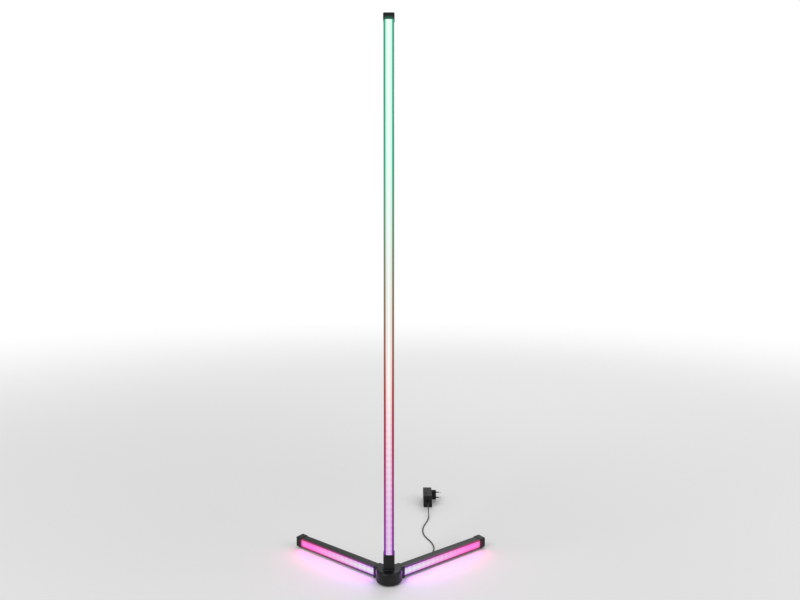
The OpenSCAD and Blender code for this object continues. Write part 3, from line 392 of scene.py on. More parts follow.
def lit_diffuser(name, on_leg):
    """Opal front with the light behind it: pale heart, tinted flanks, deep rims, and low down a
    beat of single lights."""
    f = Finish(name, Roughness=0.42, Specular_IOR_Level=0.15, Emission_Strength=1.0)
    along, off, _ = lit_places(f, on_leg)
    length, first = (LEG_REACH, LEG_FIRST_LIGHT) if on_leg else (LAMP_H, POLE_FIRST_LIGHT)
    turns = along * (length / LIGHT_PITCH) + (0.25 - first / LIGHT_PITCH)
    beat = (turns * math.tau).sine() * 0.5 + 0.5
    near = 1 - along.step(0.55, 0.9) if on_leg else 1 - along.step(0.14, 0.42)
    milk = f.noise(f.place(), 240, 3)
    narrow = -0.0009 if on_leg else (1 - along.step(0.28, 0.45)) * 0.0008
    spot = off + milk * 0.0005 - beat * near * 0.0005 + narrow
    face = f.mix(spot.step(0.0022, 0.0056), *strip_light(f, along, on_leg))
    rim = rim_light(f, along, on_leg)
    glow = f.mix(spot.step(0.0078, 0.0096), face, rim)
    if on_leg:
        glow = f.mix(along.step(0.9, 0.95) * 0.5, glow, rim)
    shade = (1 - beat) * near * 0.12
    f.set(Base_Color=f.mix(milk, (0.03, 0.03, 0.032), (0.045, 0.045, 0.047)),
          Emission_Color=f.mix(shade, glow, (0.42, 0.2, 0.42)), Normal=f.bump(milk, 0.00002, 0.4))
    return f.material


def lit_channel(name, on_leg):
    """The black extrusion, whose lips carry a painted glow in the colours of the strip beside them."""
    f = Finish(name, Specular_IOR_Level=0.34, Emission_Strength=1.0)
    at = f.place()
    axis = (1, 1, 0.02) if not on_leg else (0.35, 0.5, 1)
    lines = f.noise(f.stretch(at, axis), 2400, 3)
    slow = f.noise(at, 9, 4)
    along, off, out = lit_places(f, on_leg)
    # Painted glow: the lips' front faces emit the rim colour of the strip's light beside them
    painted_lip_glow = (1 - off.step(0.0112, 0.016)) * out.step(0.0116, 0.0129)
    base = f.mix(lines.step(0.35, 0.7), (0.006, 0.006, 0.007), (0.014, 0.014, 0.016))
    f.set(Base_Color=f.mix(slow.step(0.45, 0.8) * 0.4, base, (0.019, 0.019, 0.021)),
          Roughness=lines * 0.18 + slow * 0.1 + 0.24,
          Emission_Color=f.mix(painted_lip_glow, (0, 0, 0), rim_light(f, along, on_leg)),
          Normal=f.bump(lines, 0.00002, 0.5))
    return f.material


# Where the painted glow of the strip's light fades out on a cap: height on the pole, distance along a
# leg, in metres
CAP_PAINTED_GLOW = {"pole": (1.4835, 1.493), "leg": (0.327, 0.336)}


def moulded(name, colour, rough=0.4, grain=1500, depth=0.00005, lit=None):
    """Plastic from a spark-eroded mould: fine grain, slow change of shine, dust caught low down.
    A cap given lit also gets a painted glow from the strip's end beside it."""
    f = Finish(name, Specular_IOR_Level=0.3)
    at = f.place()
    fine = f.noise(at, grain, 3, 0.6)
    pock = f.cells(at, grain * 0.7).step(0.1, 0.5)
    slow = f.noise(at, 34, 4)
    dust = f.noise(at, 620, 3).step(0.6, 0.78) * (1 - f.parts(at)[2].step(0.004, 0.05) * 0.7)
    lighter = tuple(c * 1.5 + 0.002 for c in colour)
    grey = tuple(c * 2.2 + 0.016 for c in colour)
    base = f.mix(slow.step(0.3, 0.75), colour, lighter)
    f.set(Base_Color=f.mix(dust * 0.2, base, grey),
          Roughness=slow * 0.16 + fine * 0.1 + (rough - 0.13),
          Normal=f.bump(fine * 0.6 + pock * 0.4, depth, 0.8))
    if lit:
        on_leg = lit == "leg"
        along, off, out = lit_places(f, on_leg)
        length = (LEG_REACH if on_leg else LAMP_H) * MM
        # Painted glow: emission in the rim colour on the cap's front face next to the strip's end
        near = (1 - (along * length).step(*CAP_PAINTED_GLOW[lit])) * out.step(0.013, 0.0136)
        f.set(Emission_Strength=0.3, Emission_Color=f.mix(
            near * (1 - off.step(0.007, 0.0135)), (0, 0, 0), rim_light(f, along, on_leg)))
    return f.material


def tape_film():
    """White flexible circuit: tinned pads and small resistors between the lights."""
    f = Finish("white_tape_film", Roughness=0.45)
    at = f.place()
    x, y, z = f.parts(at)
    along = abs(x) * LEG_DIR.x + y * LEG_DIR.y + z
    cell = (along % (LIGHT_PITCH * MM)) / (LIGHT_PITCH * MM)
    pad = 1 - abs(cell - 0.5).step(0.08, 0.1)
    weave = f.noise(at, 900, 2)
    film = f.mix(weave * 0.4, (0.8, 0.8, 0.76), (0.68, 0.69, 0.66))
    f.set(Base_Color=f.mix(pad * 0.8, film, (0.62, 0.52, 0.3)), Metallic=pad * 0.7,
          Normal=f.bump(pad + weave * 0.2, 0.00004, 0.6))
    return f.material


def light_package(name, on_leg):
    """Pale package with a domed window, lit in the colour of its place."""
    f = Finish(name, Roughness=0.3, Emission_Strength=1.0)
    along, _, _ = lit_places(f, on_leg)
    _, flank = strip_light(f, along, on_leg)
    window = f.node("ShaderNodeAttribute", {"attribute_name": "window"}, {}, "Fac")
    fleck = f.noise(f.place(), 3000, 2)
    shell = f.mix(fleck * 0.5, (0.82, 0.8, 0.72), (0.7, 0.68, 0.6))
    f.set(Base_Color=f.mix(window, shell, (0.55, 0.4, 0.08)), Roughness=fleck * 0.2 + 0.22,
          Emission_Color=f.mix(window * 0.8, (0, 0, 0), flank))
    return f.material


def tie_weave():
    """Woven loop band: diagonal twill between two plain selvedges."""
    f = Finish("woven_loop_band", Specular_IOR_Level=0.25, Sheen_Weight=0.35, Sheen_Roughness=0.5)
    run = f.node("ShaderNodeUVMap", {"uv_map": "run"})
    across, along, _ = f.parts(run)
    twill = ((along * 1700 + across * 30) * math.tau).sine() * ((across * 22) * math.tau).sine()
    edge = abs(across - 0.5).step(0.40, 0.43)
    rib = ((along * 1400) * math.tau).sine()
    fuzz = f.noise(f.place(), 3600, 3, 0.7)
    height = twill * 0.5 * (1 - edge) + rib * 0.4 * edge + fuzz
    f.set(Base_Color=f.mix(fuzz.step(0.4, 0.7), (0.012, 0.012, 0.013), (0.034, 0.034, 0.036)),
          Roughness=fuzz * 0.15 + 0.75, Normal=f.bump(height, 0.00022, 0.8))
    return f.material


def circuit_board():
    """Solder-masked fibreglass with copper tracks under the mask and tinned pads."""
    f = Finish("green_circuit_board", Roughness=0.32, Specular_IOR_Level=0.6)
    at = f.place()
    snapped = f.node("ShaderNodeVectorMath", {"operation": "SNAP"}, {0: at, 1: (0.0006,) * 3})
    track = f.noise(snapped, 190, 1).step(0.47, 0.5) * (1 - f.noise(snapped, 190, 1).step(0.53, 0.56))
    pads = 1 - f.cells(at, 420).step(0.12, 0.16)
    mask = f.mix(track * 0.8, (0.012, 0.1, 0.05), (0.03, 0.2, 0.09))
    f.set(Base_Color=f.mix(pads, mask, (0.7, 0.68, 0.62)), Metallic=pads * 0.8,
          Normal=f.bump(track + pads, 0.00003, 0.6))
    return f.material


def board_parts():
    """Black packages, a brighter can and a dark capacitor, told apart by their places."""
    f = Finish("moulded_board_parts", Specular_IOR_Level=0.5)
    at = f.place()
    _, y, z = f.parts(at)
    can = (1 - y.step(-0.0215, -0.0209)) * z.step(0.0243, 0.0246)
    grain = f.noise(at, 2400, 3)
    base = f.mix(grain.step(0.4, 0.6), (0.02, 0.02, 0.022), (0.04, 0.04, 0.042))
    f.set(Base_Color=f.mix(can, base, (0.66, 0.67, 0.68)), Metallic=can * 0.9,
          Roughness=grain * 0.2 + 0.3, Normal=f.bump(grain, 0.00002, 0.5))
    return f.material


def metal(name, colour, rough, scale, depth, cast=False):
    """Plated, blackened or cast metal by the scale and depth of its grain."""
    f = Finish(name, Metallic=1.0 if not cast else 0.6)
    at = f.place()
    grain = f.noise(at, scale, 4, 0.6)
    blotch = f.noise(at, 120, 4)
    pits = 1 - f.cells(at, scale * 0.4).step(0.1, 0.35)
    bright = tuple(min(1, c * 1.35 + 0.02) for c in colour)
    height = grain + pits * -0.6 if cast else grain
    f.set(Base_Color=f.mix(blotch.step(0.35, 0.7), colour, bright),
          Roughness=grain * 0.18 + blotch * 0.14 + (rough - 0.15), Normal=f.bump(height, depth, 0.6))
    return f.material


def rubber(name, colour):
    f = Finish(name, Specular_IOR_Level=0.3)
    at = f.place()
    grain = f.noise(at, 1500, 4, 0.6)
    bloom = f.noise(at, 90, 3).step(0.5, 0.8)
    f.set(Base_Color=f.mix(bloom * 0.35, colour, tuple(c * 2 + 0.01 for c in colour)),
          Roughness=grain * 0.15 + 0.66, Normal=f.bump(grain, 0.00005, 0.6))
    return f.material


def cord_jacket():
    """Smooth soft jacket with a low parting line and a faint wavy print of its drawing."""
    f = Finish("soft_cord_jacket", Specular_IOR_Level=0.45)
    at = f.place()
    run = f.node("ShaderNodeUVMap", {"uv_map": "run"})
    round_it, _, _ = f.parts(run)
    ridge = 1 - abs(round_it - 0.5).step(0.0, 0.02)
    skin = f.noise(at, 1300, 3)
    waves = f.noise(f.stretch(run, (6, 60, 1)), 1, 3)
    f.set(Base_Color=f.mix(skin.step(0.4, 0.75), (0.016, 0.016, 0.017), (0.03, 0.03, 0.032)),
          Roughness=skin * 0.15 + waves * 0.12 + 0.34,
          Normal=f.bump(skin * 0.2 + waves * 0.5 + ridge, 0.00005, 0.5))
    return f.material


def pin_finish():
    """Nickel-plated pins, with their insulating sleeves next to the plug block."""
    f = Finish("sleeved_plug_pins")
    at = f.place()
    x, _, _ = f.parts(at)
    # The sleeves end about 164 mm to the right of the pole
    bare = x.step(0.1638, 0.1641)
    rub = f.noise(f.stretch(at, (0.1, 1, 1)), 3000, 3)
    f.set(Base_Color=f.mix(bare, (0.018, 0.018, 0.019), f.mix(rub, (0.62, 0.6, 0.55), (0.8, 0.78, 0.74))),
          Metallic=bare, Roughness=rub * 0.18 + 0.2, Normal=f.bump(rub, 0.00001, 0.5))
    return f.material


def lead(name, colour, dark):
    """Flat ribbon lead: ribs between its cores."""
    f = Finish(name, Roughness=0.42)
    at = f.place()
    ribs = f.noise(f.stretch(at, (1, 1, 0.05)), 900, 1)
    f.set(Base_Color=f.mix(ribs.step(0.35, 0.6), colour, dark), Normal=f.bump(ribs, 0.0001, 0.6))
    return f.material


MOULDING = moulded("black_moulding_grain", (0.005, 0.005, 0.0056))
POLE_CAP = moulded("pole_cap_grain", (0.005, 0.005, 0.0056), lit="pole")
LEG_CAP = moulded("leg_cap_grain", (0.005, 0.005, 0.0056), lit="leg")
ADAPTER = moulded("adapter_shell_grain", (0.0045, 0.0045, 0.005), 0.46, 1100, 0.00007)
BUTTON = moulded("smooth_button_cap", (0.012, 0.012, 0.013), 0.26, 4200, 0.00001)
SWITCH = moulded("switch_moulding", (0.05, 0.05, 0.052), 0.4, 3000, 0.00002)
POLE_CHANNEL = lit_channel("pole_black_extrusion", False)
LEG_CHANNEL = lit_channel("leg_black_extrusion", True)
POLE_GLOW = lit_diffuser("pole_lit_opal", False)
LEG_GLOW = lit_diffuser("leg_lit_opal", True)
POLE_LIGHTS = light_package("pole_light_package", False)
LEG_LIGHTS = light_package("leg_light_package", True)
WEAVE = tie_weave()
FILM = tape_film()
BOARD = circuit_board()
PARTS = board_parts()
STEEL = metal("zinc_plated_steel", (0.48, 0.49, 0.5), 0.36, 900, 0.00004)
SCREWS = metal("blackened_screw_steel", (0.05, 0.05, 0.055), 0.4, 1600, 0.00002)
CAST = metal("cast_iron_weight", (0.1, 0.1, 0.105), 0.7, 600, 0.0002, True)
RUBBER = rubber("soft_black_rubber", (0.02, 0.02, 0.02))
JACKET = cord_jacket()
PINS = pin_finish()
WHITE_LEAD = lead("white_ribbon_lead", (0.7, 0.7, 0.68), (0.5, 0.5, 0.48))
RED_LEAD = lead("red_ribbon_lead", (0.5, 0.05, 0.04), (0.3, 0.02, 0.02))

FINISHES = {
    MOULDING: ["hub_housing", "inlet"], POLE_CAP: ["pole_cap"], LEG_CAP: ["left_cap", "right_cap"],
    ADAPTER: ["adapter_front_shell", "adapter_rear_shell", "adapter_plug_block", "adapter_relief",
              "cord_plug", "cord_plug_relief"],
    BUTTON: ["power_button"], SWITCH: ["switch_body", "switch_plunger"], WEAVE: ["hank_tie"],
    FILM: ["pole_tape", "left_tape", "right_tape"], POLE_LIGHTS: ["pole_leds"],
    LEG_LIGHTS: ["left_leds", "right_leds"],
    BOARD: ["control_board", "switch_board"], PARTS: ["board_components"],
    STEEL: ["hub_base_plate", "hub_bracket", "inlet_nut", "pole_lower_joiner", "pole_upper_joiner",
            "plug_barrel"],
    SCREWS: ["board_screws", "base_screws", "joiner_screws", "pole_screws", "leg_screws"],
    CAST: ["ballast"], RUBBER: ["hub_pad", "left_foot", "right_foot"], PINS: ["adapter_pins"],
    WHITE_LEAD: ["inlet_lead"], RED_LEAD: ["pole_lead", "left_lead", "right_lead"],
}


def dress_nodes():
    for material, names in FINISHES.items():
        for name in names:
            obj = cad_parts[name]
            obj.data.materials.clear()
            obj.data.materials.append(material)


dress_nodes()


# ---------- Drawn bars: a profile filled and drawn out to a length ----------

class Steps:
    """A Geometry Nodes tree with named inputs, built up node by node."""

    def __init__(self, name, sizes):
        self.group = bpy.data.node_groups.new(name, "GeometryNodeTree")
        face = self.group.interface
        face.new_socket("Geometry", in_out="INPUT", socket_type="NodeSocketGeometry")
        face.new_socket("Geometry", in_out="OUTPUT", socket_type="NodeSocketGeometry")
        for key, kind in sizes.items():
            face.new_socket(key, in_out="INPUT", socket_type=f"NodeSocket{kind}")
        self.enter = self.group.nodes.new("NodeGroupInput")

    def given(self, name):
        return self.enter.outputs[name]

    def node(self, kind, settings=None, inputs=None, output=0):
        made = self.group.nodes.new(kind)
        for key, value in (settings or {}).items():
            setattr(made, key, value)
        for key, value in (inputs or {}).items():
            if isinstance(value, bpy.types.NodeSocket):
                self.group.links.new(value, made.inputs[key])
            else:
                made.inputs[key].default_value = value
        return made.outputs[output]

    def end(self, geometry):
        whole = self.node("GeometryNodeRealizeInstances", {}, {"Geometry": geometry})
        painted = self.node("GeometryNodeSetMaterial", {},
                            {"Geometry": whole, "Material": self.given("Finish")})
        leave = self.group.nodes.new("NodeGroupOutput")
        self.group.links.new(painted, leave.inputs[0])
        return self.group


def grow(group, start, **values):
    """Runs a tree on a start mesh and returns what it makes as a plain mesh."""
    obj = bpy.data.objects.new("start", start)
    scene.collection.objects.link(obj)
    modifier = obj.modifiers.new("shape", "NODES")
    modifier.node_group = group
    for socket in group.interface.items_tree:
        if socket.in_out == "INPUT" and socket.name in values:
            modifier[socket.identifier] = values[socket.name]
    graph = bpy.context.evaluated_depsgraph_get()
    mesh = bpy.data.meshes.new_from_object(obj.evaluated_get(graph), depsgraph=graph)
    bpy.data.objects.remove(obj)
    return mesh


def drawn_bar_tree():
    t = Steps("drawn_bar", {"Length": "Float", "Finish": "Material"})
    curve = t.node("GeometryNodeMeshToCurve", {}, {"Mesh": t.given("Geometry")})
    face = t.node("GeometryNodeFillCurve", {}, {"Curve": curve})
    up = t.node("ShaderNodeCombineXYZ", {}, {"Z": 1.0})
    body = t.node("GeometryNodeExtrudeMesh", {}, {
        "Mesh": face, "Offset": up, "Offset Scale": t.given("Length"), "Individual": False})
    back = t.node("GeometryNodeFlipFaces", {}, {"Mesh": face})
    both = t.node("GeometryNodeJoinGeometry", {}, {"Geometry": body})
    t.group.links.new(back, both.node.inputs[0])
    whole = t.node("GeometryNodeMergeByDistance", {}, {"Geometry": both, "Distance": 1e-6})
    return t.end(whole)


DRAWN_BAR = drawn_bar_tree()


def eased(corners, fine=5):
    """A closed outline from (u, v, radius) corners, each rounded in so many fine steps."""
    outline, count = [], len(corners)
    for i, (u, v, radius) in enumerate(corners):
        here = Vector((u, v))
        if radius <= 0:
            outline.append(here)
            continue
        before = (Vector(corners[i - 1][:2]) - here).normalized()
        after = (Vector(corners[(i + 1) % count][:2]) - here).normalized()
        half = before.angle(after) / 2
        reach = radius / math.tan(half)
        middle = here + (before + after).normalized() * (radius / math.sin(half))
        start = here + before * reach - middle
        finish = here + after * reach - middle
        sweep_angle = math.atan2(start.cross(finish), start.dot(finish))
        for k in range(fine + 1):
            outline.append(middle + Matrix.Rotation(sweep_angle * k / fine, 2) @ start)
    return outline


def outline_mesh(loops):
    points, edges = [], []
    for loop in loops:
        first = len(points)
        points += [(p.x * MM, p.y * MM, 0) for p in loop]
        edges += [(first + i, first + (i + 1) % len(loop)) for i in range(len(loop))]
    mesh = bpy.data.meshes.new("outline")
    mesh.from_pydata(points, edges, [])
    return mesh


def both_sides(half):
    """Corners of a symmetric outline from its right half, listed from the middle round to it."""
    return half + [(-u, v, r) for u, v, r in reversed(half)]


def channel_outline():
    w, front, inner, mouth = BAR_W / 2, BAR_D / 2, BAR_W / 2 - BAR_WALL, BAR_W / 2 - LIP_W
    outer = both_sides([
        (6, SHELF_V, 0), (6, SHELF_V + 0.8, 0.2), (6.8, SHELF_V + 0.8, 0.2), (6.8, SHELF_V, 0),
        (inner, SHELF_V, 0.3), (inner, 8.7, 0.2), (inner - 1.4, 8.7, 0.2), (inner - 1.4, 9.7, 0.2),
        (inner, 9.7, 0.2), (inner, front - LIP_T, 0.2), (mouth, front - LIP_T, 0.2),
        (mouth, front, 0.35), (w, front, 0.6), (w, -front, 3)])
    hollow = both_sides([(inner, -front + BAR_WALL, 0.6), (inner, SHELF_V - 1.5, 0.6)])
    return outline_mesh([eased(outer), eased(hollow)])


def diffuser_outline():
    mouth = BAR_W / 2 - LIP_W - DIFFUSER_FIT
    wing = BAR_W / 2 - BAR_WALL - DIFFUSER_FIT
    hollow = mouth - DIFFUSER_WALL
    front, low, flange = BAR_D / 2, 9.85, 1.6
    bulge = (mouth * mouth + CROWN * CROWN) / (2 * CROWN)
    across = [mouth * (1 - i / 12) for i in range(13)]
    dome = [(u, front + CROWN - bulge + math.sqrt(bulge * bulge - u * u)) for u in across]
    half = [(hollow, low, 0.3), (wing, low, 0.2), (wing, low + flange, 0.2),
            (mouth, low + flange, 0.2)]
    half += [(u, v, 0 if i else 0.25) for i, (u, v) in enumerate(dome[:-1])]
    left = [(-u, v, r) for u, v, r in reversed(half)]
    ring = half + [(0, dome[-1][1], 0)] + left
    ring += [(-hollow, front - DIFFUSER_WALL, 0.8), (hollow, front - DIFFUSER_WALL, 0.8)]
    return outline_mesh([eased(ring)])


def frame_matrix(across, out, along, origin):
    turn = Matrix((across, out, along)).transposed().to_4x4()
    return Matrix.Translation(Vector(origin) * MM) @ turn


ON_POLE = frame_matrix((-1, 0, 0), (0, -1, 0), (0, 0, 1), (0, 0, 0))
ON_LEG = {
    "right": frame_matrix((0, 0, 1), (-LEG_BACK.x, -LEG_BACK.y, 0), LEG_DIR, (0, 0, LEG_Z)),
    "left": frame_matrix((0, 0, -1), (LEG_BACK.x, -LEG_BACK.y, 0), (-LEG_DIR.x, LEG_DIR.y, 0),
                         (0, 0, LEG_Z)),
}


def drawn(name, outline, place, low, high, material):
    """A bar or diffuser drawn out from one place to another along the pole or a leg."""
    mesh = grow(DRAWN_BAR, outline, Length=(high - low) * MM, Finish=material)
    mesh.transform(place @ Matrix.Translation((0, 0, low * MM)))
    return piece(name, mesh, material, "lamp", [name.replace("drawn_", "")], 25)


def spread_along(node, place):
    """Lowest and highest place of a CAD node along the pole or a leg, in millimetres."""
    back = place.inverted()
    reach = [(back @ v.co).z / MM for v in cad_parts[node].data.vertices]
    return min(reach), max(reach)


def make_bars():
    for part in ("lower", "middle", "upper"):
        node = f"pole_{part}_section"
        low, high = spread_along(node, ON_POLE)
        drawn(f"drawn_{node}", channel_outline(), ON_POLE, low + SEAM, high - SEAM, POLE_CHANNEL)
    low, high = spread_along("pole_diffuser", ON_POLE)
    drawn("drawn_pole_diffuser", diffuser_outline(), ON_POLE, low, high, POLE_GLOW)
    for side, place in ON_LEG.items():
        low, high = spread_along(f"{side}_leg", place)
        drawn(f"drawn_{side}_leg", channel_outline(), place, low, high, LEG_CHANNEL)
        low, high = spread_along(f"{side}_diffuser", place)
        drawn(f"drawn_{side}_diffuser", diffuser_outline(), place, low, high, LEG_GLOW)


make_bars()


# ---------- Eased mouldings ----------

def make_mouldings():
    for node, width, finish in (
            ("hub_housing", 0.35, MOULDING), ("inlet", 0.2, MOULDING), ("pole_cap", 0.3, POLE_CAP),
            ("left_cap", 0.3, LEG_CAP), ("right_cap", 0.3, LEG_CAP)):
        softened(f"eased_{node}", node, finish, width)
    for node, width in (("adapter_front_shell", 0.25), ("adapter_rear_shell", 0.25),
                        ("adapter_plug_block", 0.4), ("cord_plug", 0.15)):
        softened(f"eased_{node}", node, ADAPTER, width)
    for node in ("hub_pad", "left_foot", "right_foot"):
        softened(f"eased_{node}", node, RUBBER, 0.4)


def make_button():
    """Button with a shallow dish for the finger, on its hidden flange and stem."""
    cap = turned([(0, 30.75), (1.6, 30.75), (1.7, 30.85), (1.7, 32.15), (4.9, 32.15), (5, 32.25),
                  (5, 33.65), (4.9, 33.75), (4, 33.75), (4, 36.35), (3.93, 36.7), (3.72, 36.95),
                  (3.4, 37.05), (3.0, 37.0), (2.3, 36.86), (1.2, 36.72), (0, 36.68)], 64)
    cap.transform(Matrix.Translation((0, 22.9 * MM, 0)))
    piece("dished_button", cap, BUTTON, "push_button", ["power_button"], 50)


make_mouldings()
make_button()


# ---------- What repeats: screws, lights, ribs, stitches ----------

def row_tree():
    """Sets an item out in a row, from one size to another along it."""
    t = Steps("row_of_items", {"Count": "Int", "Step": "Vector", "First Size": "Float",
                               "Last Size": "Float", "Finish": "Material"})
    line = t.node("GeometryNodeMeshLine", {"mode": "OFFSET"},
                  {"Count": t.given("Count"), "Offset": t.given("Step")})
    index = t.node("GeometryNodeInputIndex")
    last = t.node("ShaderNodeMath", {"operation": "SUBTRACT"}, {0: t.given("Count"), 1: 1.0})
    share = t.node("ShaderNodeMath", {"operation": "DIVIDE"}, {0: index, 1: last})
    size = t.node("ShaderNodeMix", {"data_type": "FLOAT"},
                  {0: share, 2: t.given("First Size"), 3: t.given("Last Size")})
    scale = t.node("ShaderNodeCombineXYZ", {}, {"X": size, "Y": size, "Z": 1.0})
    row = t.node("GeometryNodeInstanceOnPoints", {},
                 {"Points": line, "Instance": t.given("Geometry"), "Scale": scale})
    return t.end(row)


def places_tree():
    """Sets an item on each point, turned to face the way that the point says."""
    t = Steps("items_in_places", {"Item": "Object", "Finish": "Material"})
    item = t.node("GeometryNodeObjectInfo", {}, {"Object": t.given("Item")}, "Geometry")
    facing = t.node("GeometryNodeInputNamedAttribute", {"data_type": "FLOAT_VECTOR"},
                    {"Name": "facing"}, "Attribute")
    turn = t.node("FunctionNodeAlignRotationToVector", {"axis": "Z"}, {"Vector": facing})
    put = t.node("GeometryNodeInstanceOnPoints", {},
                 {"Points": t.given("Geometry"), "Instance": item, "Rotation": turn})
    return t.end(put)


ROW = row_tree()
PLACES = places_tree()


def in_row(item, count, step, finish, sizes=(1, 1)):
    return grow(ROW, item, Count=count, Step=tuple(v * MM for v in step), Finish=finish,
                **{"First Size": float(sizes[0]), "Last Size": float(sizes[1])})


def in_places(item, places, finish):
    """The item on every (point, facing) pair, in millimetres."""
    points = bpy.data.meshes.new("places")
    points.from_pydata([Vector(p) * MM for p, _ in places], [], [])
    facing = points.attributes.new("facing", "FLOAT_VECTOR", "POINT")
    for entry, (_, way) in zip(facing.data, places):
        entry.vector = way
    holder = bpy.data.objects.new("item", item)
    scene.collection.objects.link(holder)
    mesh = grow(PLACES, points, Item=holder, Finish=finish)
    bpy.data.objects.remove(holder)
    return mesh


def cross_recess(screw, radius, top, depth):
    """Cuts a tapered cross into the top of a screw's head."""
    verts, faces = [], []
    for turn in (0, 1):
        base = len(verts)
        for z, reach, half in ((top - depth, 0.5, 0.12), (top + 1, 1.15, 0.3)):
            for u, v in ((-reach, -half), (reach, -half), (reach, half), (-reach, half)):
                u, v = u * radius, v * radius
                verts.append((u, v, z) if not turn else (-v, u, z))
        faces += [tuple(base + i for i in f) for f in (
            (3, 2, 1, 0), (4, 5, 6, 7), (0, 1, 5, 4), (1, 2, 6, 5), (2, 3, 7, 6), (3, 0, 4, 7))]
    cutter = bpy.data.objects.new("cutter", mesh_from("cutter", verts, faces))
    blank = bpy.data.objects.new("blank", screw)
    for obj in (cutter, blank):
        scene.collection.objects.link(obj)
    cut = blank.modifiers.new("cut", "BOOLEAN")
    cut.operation, cut.object, cut.solver, cut.use_self = "DIFFERENCE", cutter, "EXACT", True
    graph = bpy.context.evaluated_depsgraph_get()
    mesh = bpy.data.meshes.new_from_object(blank.evaluated_get(graph), depsgraph=graph)
    bpy.data.objects.remove(cutter)
    bpy.data.objects.remove(blank)
    return mesh


def thread(radius, low, high):
    """Points of a threaded shank from its tip up, as a run of ridges."""
    pitch = 0.45 * radius
    ridges = int((high - low - radius) / pitch)
    points = [(0, low), (0.35 * radius, low + 0.05 * radius)]
    for i in range(ridges):
        z = low + 0.6 * radius + i * pitch
        points += [(0.8 * radius, z), (radius * 0.99, z + pitch / 2)]
    return points + [(0.8 * radius, high - 0.1)]


def pan_screw(radius, length):
    """Pan-head screw, its head seated at z = 0 and facing up."""
    head, tall = 1.9 * radius, 1.2 * radius
    rim = [(head - 0.15, 0), (head, 0.12 * tall), (head, 0.4 * tall), (0.94 * head, 0.66 * tall),
           (0.8 * head, 0.86 * tall), (0.55 * head, 0.97 * tall), (0, tall)]
    return cross_recess(turned(thread(radius, -length, 0) + rim, 32), radius, tall, 0.62 * tall)


def sunk_screw(radius, length, sink):
    """Countersunk screw, its flat head's face at z = 0 and facing up."""
    rim = [(radius, -sink), (radius + sink - 0.1, -0.12), (radius + sink - 0.02, 0), (0, 0)]
    return cross_recess(turned(thread(radius, -length, -sink) + rim, 32), radius * 0.9, 0, 0.8)


def leg_spot(side, s, back, z):
    """A point beside a leg: s along it and so far behind its middle."""
    spot = s * LEG_DIR + back * LEG_BACK
    return (spot.x * side, spot.y, z)


def make_screws():
    rear = (0, 1, 0)
    bar_back, collar_back = BAR_D / 2, 14.75
    pole_joints = (524.1, 1010.05)
    sets = {
        "pole_screws": (pan_screw(2, 12), [((0, collar_back, z), rear) for z in (48.15, 68.15)]),
        "joiner_screws": (pan_screw(1.5, 9), [((0, bar_back, joint + step), rear)
                                              for joint in pole_joints for step in (-22.5, 22.5)]),
        "leg_screws": (pan_screw(1.5, 9), [
            (leg_spot(side, s, bar_back, LEG_Z), (side * LEG_BACK.x, LEG_BACK.y, 0))
            for side in (1, -1) for s in (52.2, 66.2)]),
        "base_screws": (sunk_screw(1.5, 9, 1.3), [
            ((side * x, y, 2.2), (0, 0, -1)) for side in (1, -1)
            for x, y in ((20.065, -18.067), (5.7, 5.45))]),
        "board_screws": (pan_screw(1.25, 6.6), [((side * 10, -17, 23.6), (0, 0, 1))
                                                for side in (1, -1)]),
    }
    for node, (item, places) in sets.items():
        piece(f"set_{node}", in_places(item, places, SCREWS), SCREWS, "lamp", [node])


def light_item():
    """One light: square package with a round domed window, set on its base, facing out along Y."""
    half, tall, ring = LIGHT_SIDE / 2, LIGHT_T, 12
    turns = [math.tau * (k + 0.5) / ring for k in range(ring)]
    corners = [(-half, -half), (half, -half), (half, half), (-half, half)]
    points = [(x, y, 0) for x, y in corners] + [(x * 0.97, y * 0.97, tall) for x, y in corners]
    for radius, sink in ((2.0, 0), (1.1, 0.22)):
        points += [(radius * math.cos(a), radius * math.sin(a), tall - sink) for a in turns]
    centre = len(points)
    points.append((0, 0, tall - 0.3))
    faces = [(3, 2, 1, 0)] + [(k, (k + 1) % 4, 4 + (k + 1) % 4, 4 + k) for k in range(4)]
    outer = 8
    for q in range(4):
        # Quarter of the square's top between two corners and three points of the ring
        first = (q * 3 + 7) % ring
        arc = [outer + (first + k) % ring for k in range(4)]
        faces.append((4 + q, 4 + (q + 1) % 4, *reversed(arc)))
    windows = len(faces)
    for k in range(ring):
        a, b = outer + k, outer + (k + 1) % ring
        faces.append((a, b, b + ring, a + ring))
        faces.append((a + ring, b + ring, centre))
    mesh = mesh_from("light", points, faces)
    mark = mesh.attributes.new("window", "FLOAT", "FACE")
    for i, entry in enumerate(mark.data):
        entry.value = 1.0 if i >= windows else 0.0
    mesh.transform(Matrix.Rotation(math.radians(-90), 4, "X"))
    return mesh


def make_lights():
    for node, place, finish in (("pole_leds", ON_POLE, POLE_LIGHTS),
                                ("left_leds", ON_LEG["left"], LEG_LIGHTS),
                                ("right_leds", ON_LEG["right"], LEG_LIGHTS)):
        low, high = spread_along(node, place)
        span = high - low - LIGHT_SIDE
        count = round(span / LIGHT_PITCH) + 1
        step = span / (count - 1)
        row = in_row(light_item(), count, (0, 0, step), finish)
        seat = Matrix.Translation(Vector((0, SHELF_V + TAPE_T, low + LIGHT_SIDE / 2)) * MM)
        row.transform(place @ seat)
        piece(f"row_of_{node}", row, finish, "lamp", [node], 20)


def join_meshes(*meshes):
    work = bmesh.new()
    for mesh in meshes:
        work.from_mesh(mesh)
    mesh = bpy.data.meshes.new("joined")
    work.to_mesh(mesh)
    work.free()
    return mesh


